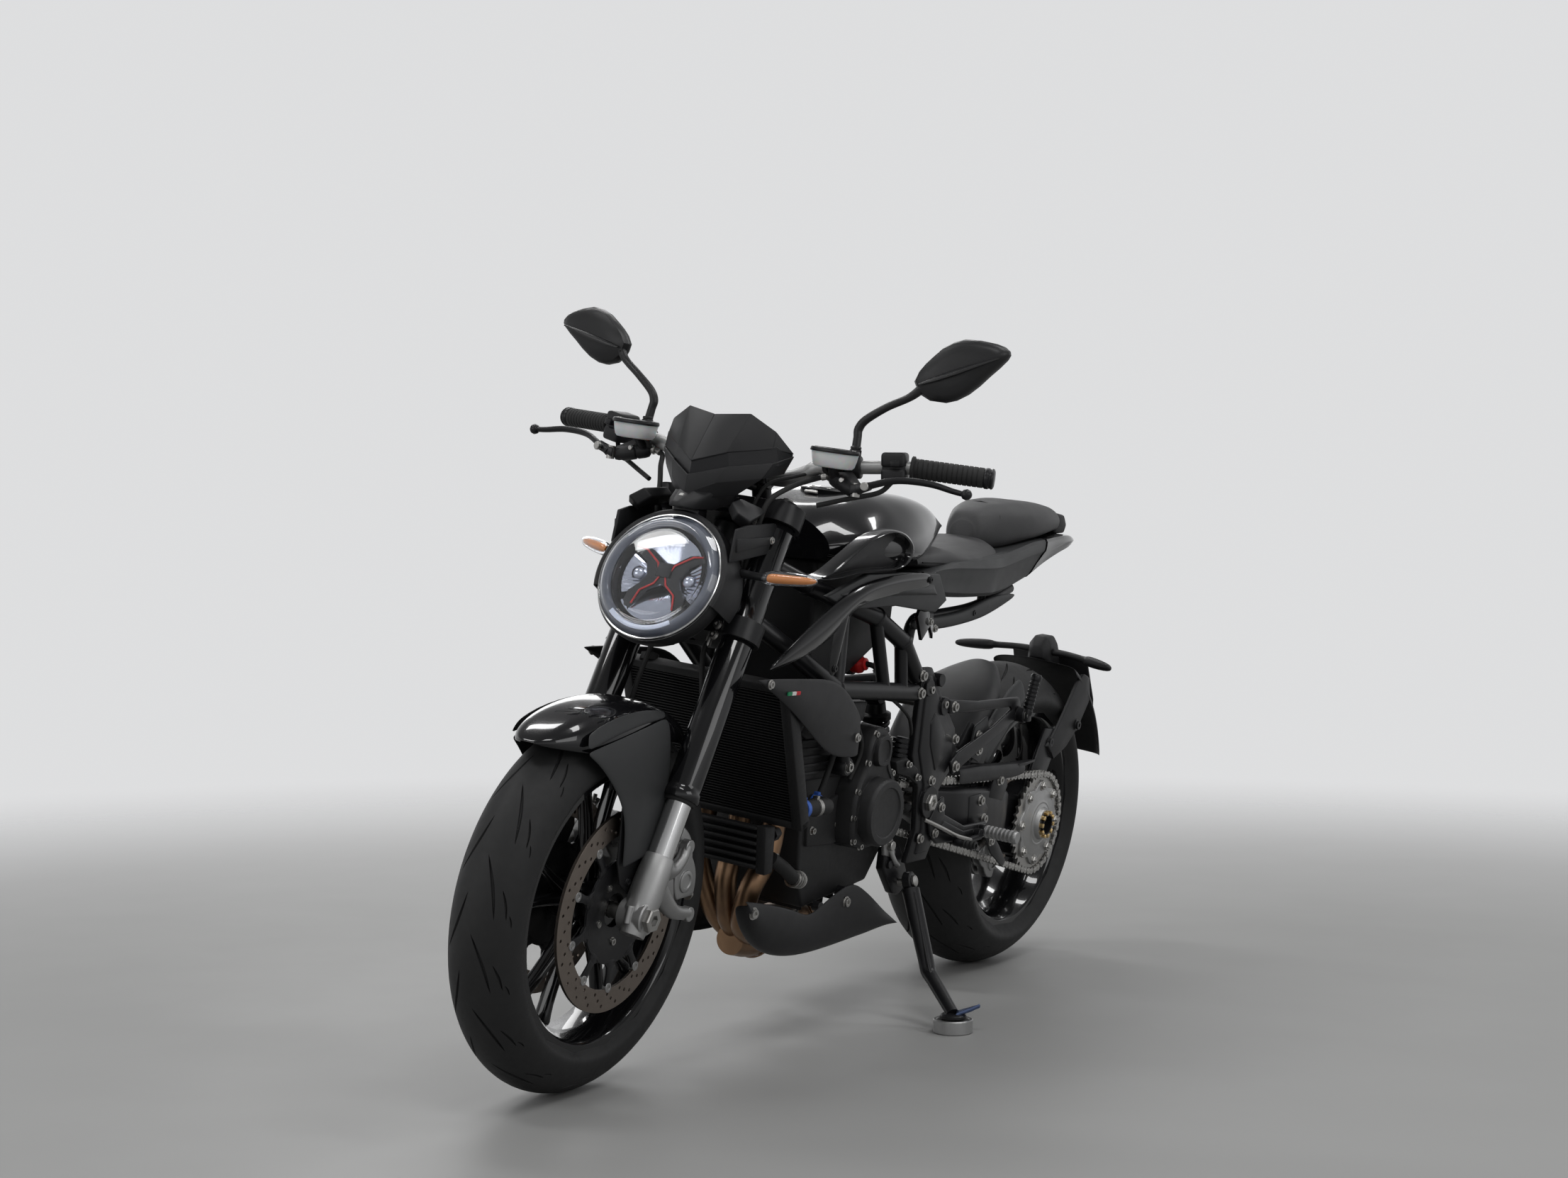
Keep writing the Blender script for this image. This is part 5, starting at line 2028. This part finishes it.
def swingarm():
    stations = [(150, 60, 104, 380, 446), (190, 60, 104, 366, 440), (250, 62, 104, 341, 424),
                (300, 88, 124, 330, 421), (340, 106, 131, 322, 419), (430, 106, 131, 312, 413),
                (510, 106, 131, 303, 408), (545, 92, 124, 296, 398), (584, 62, 105, 288, 380),
                (630, 60, 104, 275, 376), (662, 60, 104, 262, 372)]
    inset = 9
    rings = []
    for y, x0, x1, z0, z1 in stations:
        rings.append([Vector(v) for v in ((x0 + 3, y, z0 + inset), (x0 + inset, y, z0), (x1 - inset, y, z0),
                                          (x1 - 1, y, z0 + inset), (x1, y, (z0 + z1) / 2), (x1 - 1, y, z1 - inset),
                                          (x1 - inset, y, z1), (x0 + inset, y, z1), (x0 + 3, y, z1 - inset),
                                          (x0, y, (z0 + z1) / 2))])
    beam = eased(loft(rings, "frame"), 2.5, 2, 35)
    barrel = disc((0, *PIVOT), 30, -104, 104, "frame", steps=48)
    hub = lathe([(58, 29), (58, 76), (61, 78), (98, 78), (103, 74), (105.6, 66), (105.6, 40), (102, 36), (102, 29)],
                REAR_AXLE, "frame", steps=96)
    lobes = round_copies([disc(REAR_AXLE + Vector((0, 0, 76)), 8, 64, 98, "frame", steps=24)], REAR_AXLE, 6)
    bar = disc((0, *SHOCK_FOOT), 18, -22, 64, "frame", steps=32)
    lug = eased(prism([(440, 392), (458, 440), (500, 446), (520, 410), (504, 380)], 112, 131.6, "frame"), 3)
    panel = eased(prism([(360, 336), (352, 402), (404, 404), (440, 372), (430, 330)], 128, 132.6, "frame"), 2.5)
    boss = disc((66, 616, 300), 15, -8, 44, "frame", steps=28)
    piece("swingarm_casting", [beam, barrel, hub, bar, lug, panel, *lobes, boss], CHASSIS, "swingarm", crease=28)
    screws("swingarm_screws", facing_left([(133, 401, 390), (133, 424, 352), (132, 478, 424), (108.5, 616, 300)]),
           CHASSIS, head=8, height=6)
    low, high = Vector((0, *SHOCK_FOOT)), Vector((0, *SHOCK_TOP))
    run = (high - low).normalized()
    body = lathe([(14, 0), (14, 16), (40, 18), (44, 31), (50, 31), (52, 16), (146, 16), (150, 31), (160, 31),
                  (164, 22), (182, 20), (186, 0)], low, "frame", run, 40)
    side = Vector((1, 0, 0))
    other = run.cross(side)
    round_steps, coil_steps = 18, 117
    coil = []
    for k in range(coil_steps + 1):
        a = 2 * math.pi * k / round_steps
        coil.append(low + run * (50 + 99 * k / coil_steps) + (side * math.cos(a) + other * math.sin(a)) * 24.5)
    spring = pipe(coil, 5.2, "spring", 10, smooth=False)
    eye = lathe([(-16, 10.4), (-16, 18), (16, 18), (16, 10.4)], high, "frame", steps=36)
    piece("shock_body", [body, eye], CHASSIS, "rear_shock")
    piece("shock_spring", [spring], CHASSIS)
    halves = caliper_half(12, 29, 12, REAR_AXLE, 208, 100) + caliper_half(39, 57.5, 57, REAR_AXLE, 208, 100)
    bridges = caliper_bridges(118, 128, (212, 230, 248), 24, 44, 1.2, REAR_AXLE)
    piece("rear_caliper_body", halves + bridges, CHASSIS, "rear_caliper")


def arc_guard(rows, finish, thickness=3.2):
    """A curved guard round the rear wheel: rows of (angle from the rear towards the top, [(x, radius)])."""
    return softened(thick(sheet([[polar(r, a, x, REAR_AXLE) for x, r in row] for a, row in rows], finish), thickness))


def guards():
    rows = []
    for k in range(14):
        a = 106 + 6 * k
        tip = max(0.0, 1 - k / 3.5)
        w = 96 - 62 * tip ** 1.2
        crown = 333 + 4 * (1 - tip)
        rows.append((a, [(-w, crown - 16), (-w * 0.86, crown - 3), (-w * 0.5, crown + 1), (0, crown + 2 + 2 * tip),
                         (w * 0.5, crown + 1), (w * 0.86, crown - 3), (w, crown - 16)]))
    shell = arc_guard(rows, "satin", 3.4)
    rows = [(112 + 5.6 * k, [(98, 325), (106, 318), (109, 300), (109.5, 282), (108, 262 + 22 * abs(k - 3.5) / 3.5)])
            for k in range(8)]
    skirt = arc_guard(rows, "cover_grey")
    lines = (((296, 330, 400), ((104, 452), (112, 460), (126, 460.5), (133, 456), (134, 440), (133, 428))),
             ((470, 540), ((104, 448), (112, 455), (126, 455), (133, 451), (134, 436), (133, 424))),
             ((596,), ((108, 444), (116, 448), (126, 448), (131, 445), (132, 436), (131, 428))))
    upper = [[Vector((x, y, z)) for x, z in line] for stations, line in lines for y in stations]
    cover = softened(thick(sheet(upper, "satin"), 2.6), 1)
    tip = eased(plank([(110, 560, 452), (132, 560, 450), (126, 640, 452), (116, 668, 450)],
                      [(110, 560, 444), (132, 560, 440), (126, 640, 447), (116, 668, 446)], "satin"), 1.2)
    stay = eased(prism([(360, 418), (420, 414), (420, 452), (360, 454)], 104.3, 108, "frame"), 1.2)
    facets = ([(134, 330, 470), (140, 372, 520), (134, 420, 548), (126, 430, 500), (132, 396, 462)],
              [(134, 330, 470), (122, 300, 500), (128, 330, 548), (140, 372, 520)])
    plates = [eased(flank_plate(points, 9, "satin"), 2) for points in facets]
    piece("rear_hugger_shell", [shell, skirt, cover, tip, stay] + plates, CHASSIS, "rear_hugger", crease=30)
    pentagon = eased(prism([(306, 486), (318, 542), (366, 560), (384, 520), (352, 470)], 138, 143, "cover_grey"), 1.6)
    piece("hugger_side_plate", [pentagon], CHASSIS)
    screws("hugger_screws", facing_left([(145, 330, 524), (145, 338, 496)]), CHASSIS, head=8, height=5)


def plate_carrier():
    root = eased(prism([(660, 372), (736, 378), (772, 440), (800, 492), (766, 506), (728, 508), (690, 440)], 97, 106,
                       "frame"), 3)
    edges = [((728, 470), (775, 440)), ((760, 500), (830, 462)), ((800, 548), (880, 500)), ((840, 600), (926, 560)),
             ((866, 616), (908, 606))]
    rings = []
    for (ya, za), (yb, zb) in edges:
        middle = ((ya + yb) / 2, (za + zb) / 2)
        rings.append([Vector(v) for v in ((106, ya, za), (112, ya + 6, za + 2), (114, *middle), (112, yb - 6, zb + 2),
                                          (106, yb, zb), (103, *middle))])
    arm = eased(loft(rings, "satin"), 2)
    section = [(-84, 328), (-76, 340), (-40, 344), (0, 345), (40, 344), (84, 341), (108, 338), (111, 326)]
    fender = arc_guard([(20 + 6 * k, section) for k in range(9)], "satin")
    board = eased(plank([(-88, 930, 640), (88, 930, 640), (92, 980, 552), (80, 1030, 460), (-80, 1030, 460),
                         (-92, 980, 552)],
                        [(-88, 934, 643), (88, 934, 643), (92, 985, 555), (80, 1034, 463), (-80, 1034, 463),
                         (-92, 985, 555)], "satin"), 1.4)
    sections = ((14, 862, 636, 650, 660), (26, 876, 630, 664, 682), (26, 908, 624, 668, 684),
                (22, 936, 590, 640, 660), (18, 962, 556, 590, 606))
    hood = eased(loft([roof_ring(0.55, *section) for section in sections], "satin"), 3)
    light = eased(prism([(950, 588), (976, 560), (988, 566), (964, 600)], -16, 16, "lamp_black"), 2)
    reflector = disc((0, 1012, 500), 20, 0, 7, "red_lens", (0, 0.86, 0.5), 32)
    piece("plate_carrier_arm", [root, arm, fender, board, hood, light, reflector], CHASSIS, "plate_carrier", crease=30)
    screws("plate_carrier_screws", facing_left([(115, 859, 509), (107, 712, 410), (107, 748, 478)]), CHASSIS, "frame",
           head=9, height=6)
    stalk = pipe([(26, 890, 650), (60, 886, 650), (100, 878, 647), (118, 871, 646)], [8, 7, 7, 9], "satin", 14)
    start = Vector((106, 876, 646))
    run = Vector((78, -36, -5))
    rings = [oblong(start + run * t, size * 0.9, size * 1.1) for t, size in
             ((0, 6), (0.05, 11), (0.2, 13), (0.6, 12), (0.9, 9), (1.0, 4))]
    pod = softened(loft(rings, "satin"), 1)
    face_at = start + Vector((0, 4.5, 0))
    rings = [oblong(face_at + run * t, size * 0.8, size) for t, size in
             ((0.12, 6), (0.2, 10), (0.6, 10), (0.86, 7), (0.92, 3))]
    glass = softened(loft(rings, "amber_core"), 1)
    piece("rear_indicator_pods", both([stalk, pod]), CHASSIS, "rear_indicators")
    piece("rear_indicator_glasses", both([glass]), CHASSIS)


def peg_profile(start, step, crest, groove, end):
    """Half the section of a footpeg with eight grooves, as (along, radius)."""
    profile = list(start)
    for k in range(8):
        profile += [(along + step * k, radius) for along, radius in
                    ((10, crest), (11, groove), (14, groove), (15, crest))]
    return profile + list(end)


def footrests():
    hanger = eased(prism([(150, 376), (176, 408), (200, 420), (212, 384), (300, 354), (394, 354), (402, 338),
                          (396, 324), (300, 324), (190, 330), (160, 352)], 146.4, 154, "frame"), 3, 3)
    web = eased(prism([(196, 350), (208, 372), (296, 344), (372, 344), (372, 334), (296, 332)], 152, 156, "frame"), 1.6)
    guard = eased(prism([(402, 350), (470, 300), (512, 262), (500, 250), (440, 284), (398, 326)], 147, 151,
                        "frame"), 2)
    section = peg_profile([(0, 0), (0, 12), (4, 12.5)], 8.4, 12.5, 10.6, [(79, 12.8), (82, 11), (82, 0)])
    peg = lathe(section, (150.5, 375, 338), "silver", steps=40)
    pivot = eased(block((150, 362, 328), (166, 388, 350), "frame"), 3)
    lever = pipe([(163, 352, 330), (163, 300, 327), (163, 262, 328), (168, 242, 330), (190, 240, 332)],
                 [8, 7, 7, 7, 7], "frame", flat=(1, 0.8))
    toe = lathe([(0, 7), (2, 8.5), (4, 7), (8, 8.5), (12, 7), (16, 8.5), (20, 7), (24, 8.5), (26, 0)],
                (187, 240, 332), "hose", (1, 0, 0.05), 24)
    hub = disc((157, 346, 336), 10, -2.5, 12, "frame", steps=28)
    rod = pipe([(170, 300, 330), (168, 240, 344), (160, 190, 362), (148, 140, 380)], 4, "steel", 12)
    piece("rider_footrest_hangers", both([hanger, web, guard, peg, pivot]) + [lever, toe, hub, rod], CHASSIS,
          "rider_footrests")
    screws("footrest_screws", both_flanks([(155, 190, 400), (155, 176, 352), (152, 430, 310)]), CHASSIS, head=7,
           height=5)
    upper = eased(prism([(176, 602), (180, 576), (300, 574), (440, 576), (478, 552), (492, 566), (472, 594),
                         (300, 594)], 146.4, 154.4, "frame"), 3, 3)
    lower = eased(prism([(210, 482), (222, 458), (300, 488), (400, 524), (486, 556), (474, 582), (380, 542),
                         (236, 500)], 146.4, 154.4, "frame"), 3, 3)
    boss = disc((154, 478, 560), 15, -8, 16, "frame", steps=36)
    clevis = eased(block((158, 470, 548), (178, 490, 574), "frame"), 3)
    section = peg_profile([(0, 0), (0, 9), (4, 10.5)], 8, 10.5, 9.2, [(78, 11.5), (83, 9), (83, 0)])
    peg = lathe(section, (170, 480, 560), "frame", Vector((7, 11, 82)).normalized(), 36)
    piece("passenger_hangers", both([upper, lower, boss, clevis, peg]), CHASSIS, "passenger_pegs")
    screws("passenger_screws", both_flanks([(155, 193, 589), (155, 226, 474), (171, 478, 560)]), CHASSIS, head=8,
           height=6)


def silencer():
    link = pipe([(-20, 10, 176), (-24, 45, 176), (-50, 76, 180), (-92, 102, 186), (-122, 126, 193), (-140, 146, 199)],
                [29, 29, 29, 29, 30, 34], "header", 32)
    axis = Vector((-42, 300, 60)).normalized()
    start = Vector((-138, 130, 198))
    side = (Vector((1, 0, 0)) - axis * axis.x).normalized()
    up = axis.cross(side)
    rings = [[start + axis * s + side * r * math.cos(a) + up * r * math.sin(a) for a in round_angles(40)] for s, r in
             ((-4, 26), (4, 38), (22, 46), (60, 49), (160, 50), (250, 50), (288, 49), (304, 45), (310, 38))]
    can = eased(loft(rings, "satin"), 2, 2, 25)
    straps = [lathe([(s - 6, 49), (s - 6, 52), (s + 6, 52), (s + 6, 49)], start, "steel", axis, 64) for s in (70, 236)]
    outlets = []
    way = Vector((-6, 40, 9)).normalized()
    for turn in range(3):
        a = math.radians(90 + 120 * turn)
        at = Vector((-179 + 24 * math.cos(a), 426, 257 + 24 * math.sin(a)))
        outlets.append(lathe([(-8, 14), (-8, 17), (36, 17), (40, 18.5), (43, 17.5), (43, 15.2), (8, 14.4), (4, 14)],
                             at, "steel", way, 36))
        outlets.append(lathe([(2, 0), (2, 14.6), (4, 14.6), (4, 0)], at, "lamp_black", way, 36))
    shield = [[start + axis * s + Vector((-r * math.cos(a), 0, 0)) + Vector((0, -0.2, 0.98)) * r * math.sin(a)
               for a in map(math.radians, (-50, -25, 0, 25, 55))]
              for s, r in ((20, 52), (60, 54.5), (160, 55), (230, 54.5), (262, 52))]
    cover = softened(thick(sheet(shield, "cover_grey"), 2.4), 1)
    piece("silencer_can", [link, can, cover] + straps + outlets, CHASSIS, "silencer")


def stand():
    """The stand's bracket, its cranked leg with a foot, and the puck under it, which is drawn level."""
    pivot = Vector((145, 116, 266))
    axis = Vector((1, 0.12, 0.262)).normalized()
    root = eased(prism([(50, 330), (104, 330), (124, 306), (141, 280), (138, 246), (120, 236), (98, 240), (50, 290)],
                       106.4, 125, "frame"), 4, 3)
    pin = lathe([(-26, 0), (-26, 6), (9, 6), (9, 11), (13, 11), (14.5, 9), (14.5, 0)], pivot, "steel", axis, 24)
    lug = disc((128, 64, 300), 8, -4, 3, "frame", steps=18)
    piece("stand_root_casting", [root, pin, lug], CHASSIS, "stand_bracket")
    level = Matrix.Translation((METRES * PUCK_AT[0], METRES * PUCK_AT[1], 0)) @ Matrix.Scale(METRES, 4)
    to_machine = MACHINE.inverted() @ level
    foot = to_machine @ Vector((0, 0, 32))
    knee = Vector((228, 74, 122))
    eye = lathe([(-8, 6.5), (-8, 16), (-6.5, 18), (6.5, 18), (8, 16), (8, 6.5)], pivot, "frame", axis, 40)
    down = (knee - pivot).normalized()
    leg = pipe([pivot + down * 15, pivot + down * 60, knee - down * 26, knee, knee.lerp(foot, 0.22),
                knee.lerp(foot, 0.7), foot + (knee - foot).normalized() * 2],
               [15.5, 15, 13.6, 13.2, 12.4, 11.4, 11], "frame", 22, flat=(1.08, 0.86))
    ridge = pipe([pivot + down * 22 + Vector((9, -6, 4)), knee + Vector((7, -9, 3)),
                  knee.lerp(foot, 0.4) + Vector((6, -8, 4))], [3, 4, 2], "frame", 10)
    sole = lathe([(24.4, 0), (24.4, 22), (25.6, 24), (30, 24), (32.3, 21), (32.3, 0)], (0, 0, 0), "frame",
                 (0, 0, 1), 40).moved(to_machine)
    tang = [foot + Vector(v) for v in ((2, 8, 6), (26, 26, 16), (40, 22, 24), (44, 10, 28), (30, 6, 18), (8, -6, 4))]
    lift = (to_machine.to_3x3() @ Vector((0, 0, 1))).normalized() * 7
    spur = eased(plank(tang, [p - lift for p in tang], "blue_steel"), 2)
    piece("side_stand_leg", [eye, leg, ridge, sole, spur], SIDE_STAND, "side_stand")
    puck = lathe([(0, 0), (0, 33.6), (1.4, 35), (22.4, 35), (24, 33.4), (24, 30), (22.6, 28.6), (22.6, 0)],
                 (0, 0, 0), "silver", (0, 0, 1), 96)
    piece("stand_puck_disc", [puck], (level, "side_stand"), "stand_puck")


chain()
wheel_fittings()
swingarm()
guards()
plate_carrier()
footrests()
silencer()
stand()


NODE_FINISH = {
    "satin": "belly_pan rear_hugger plate_carrier radiator_shrouds rear_indicators",
    "frame": "trellis_frame frame_plates lower_clamp upper_clamp passenger_pegs rider_footrests "
             "side_stand stand_bracket swingarm rear_shock silencer",
    "casing": "engine_block engine_covers",
    "cooler": "radiator",
    "hose": "coolant_hoses",
    "steel": "chain rear_sprocket",
    "silver": "rear_caliper stand_puck",
    "header": "exhaust_headers",
}


def finish_cad_nodes():
    for finish, names in NODE_FINISH.items():
        for name in names.split():
            node = NODES[name]
            if not node.material_slots:
                node.data.materials.append(FINISH[finish])
            for slot in node.material_slots:
                slot.material = FINISH[finish]


finish_cad_nodes()


# The stage: floor, lamps, world and camera

def floor():
    f = Finish("studio_floor", specular_ior_level=0.25)
    x, y, _ = f.axes()
    away = f.sum("SQRT", x * x + y * y)
    f.paint(base_color=f.mix(f.smooth(away, 1.2, 4.5), (0.27, 0.27, 0.266), (0.56, 0.56, 0.56)))
    f.patchy(0.42, 0.15, scale=3.0)
    f.paint(alpha=f.smooth(away, 5.2, 2.6))
    mesh = bpy.data.meshes.new("studio_floor")
    reach = 60
    rim = [(reach * math.cos(a), reach * math.sin(a), 0) for a in round_angles(96)]
    mesh.from_pydata(rim, [], [list(range(len(rim)))])
    mesh.materials.append(f.material)
    in_scene("studio_floor", mesh)


def lamp(name, place, target, size, power):
    """A rectangular panel lamp that faces its target."""
    data = bpy.data.lights.new(name, "AREA")
    data.shape = "RECTANGLE"
    data.size, data.size_y = size
    data.energy = power
    made = in_scene(name, data)
    made.location = place
    made.rotation_euler = (Vector(target) - Vector(place)).to_track_quat("-Z", "Y").to_euler()


def lamps():
    for k, (x, y) in enumerate(((-1.6, -2.2), (1.4, -2.2), (-1.6, 0.2), (1.4, 0.2), (-1.6, 2.4), (1.4, 2.4))):
        lamp(f"ceiling_panel_{k}", (x, y, 3.6), (x, y, 0), (1.5, 0.45), 27)
    lamp("left_fill", (4.2, -1.0, 2.2), (0, 0, 0.5), (2.6, 1.6), 32)
    lamp("front_fill", (-1.6, -4.6, 2.0), (0, -0.4, 0.5), (2.4, 1.4), 24)
    lamp("rear_fill", (-3.2, 3.2, 2.2), (0, 0.2, 0.6), (2.4, 1.4), 24)


def world():
    """A pale room to look at, dimmer air that lights the object, and darker air under it in reflections."""
    made = bpy.data.worlds.new("studio_air")
    made.use_nodes = True
    tree = made.node_tree
    tree.nodes.clear()

    def node(kind, settings=None, **inputs):
        new = tree.nodes.new(kind)
        for name, value in (settings or {}).items():
            setattr(new, name, value)
        for place, value in inputs.items():
            socket = new.inputs[int(place[1:])]
            if isinstance(value, bpy.types.NodeSocket):
                tree.links.new(value, socket)
            else:
                socket.default_value = value
        return new

    path = node("ShaderNodeLightPath")
    way = node("ShaderNodeNewGeometry").outputs["Incoming"]
    rise = node("ShaderNodeMath", {"operation": "MULTIPLY"}, i0=node("ShaderNodeSeparateXYZ", i0=way).outputs[2],
                i1=-1.0)
    overhead = node("ShaderNodeMapRange", i0=rise.outputs[0], i1=0.16, i2=0.55, i3=0.80, i4=0.26)
    mirrored = node("ShaderNodeMapRange", i0=rise.outputs[0], i1=-0.25, i2=0.12, i3=0.24)
    tree.links.new(overhead.outputs[0], mirrored.inputs[4])
    air = node("ShaderNodeMapRange", i0=path.outputs["Is Glossy Ray"], i3=0.36)
    tree.links.new(mirrored.outputs[0], air.inputs[4])
    seen = node("ShaderNodeMath", {"operation": "ADD", "use_clamp": True}, i0=path.outputs["Is Camera Ray"],
                i1=path.outputs["Is Transmission Ray"])
    strength = node("ShaderNodeMapRange", i0=seen.outputs[0], i3=air.outputs[0], i4=0.74)
    light = node("ShaderNodeBackground", i0=(0.985, 0.99, 1.0, 1), i1=strength.outputs[0])
    node("ShaderNodeOutputWorld", i0=light.outputs[0])
    bpy.context.scene.world = made


def camera():
    data = bpy.data.cameras.new("view")
    data.sensor_width = 36.0
    data.lens = 51.91
    made = in_scene("view", data)
    made.location = Vector(JOINTS["rear_wheel_spin"]["pos_m"]) + Vector((2.1008, -4.2466, 0.4978))
    yaw, pitch = math.radians(-31.3686), math.radians(-0.4156)
    ahead = Vector((math.sin(yaw) * math.cos(pitch), math.cos(yaw) * math.cos(pitch), math.sin(pitch)))
    made.rotation_euler = ahead.to_track_quat("-Z", "Y").to_euler()
    bpy.context.scene.camera = made


floor()
lamps()
world()
camera()
bpy.context.scene.view_settings.view_transform = "Standard"
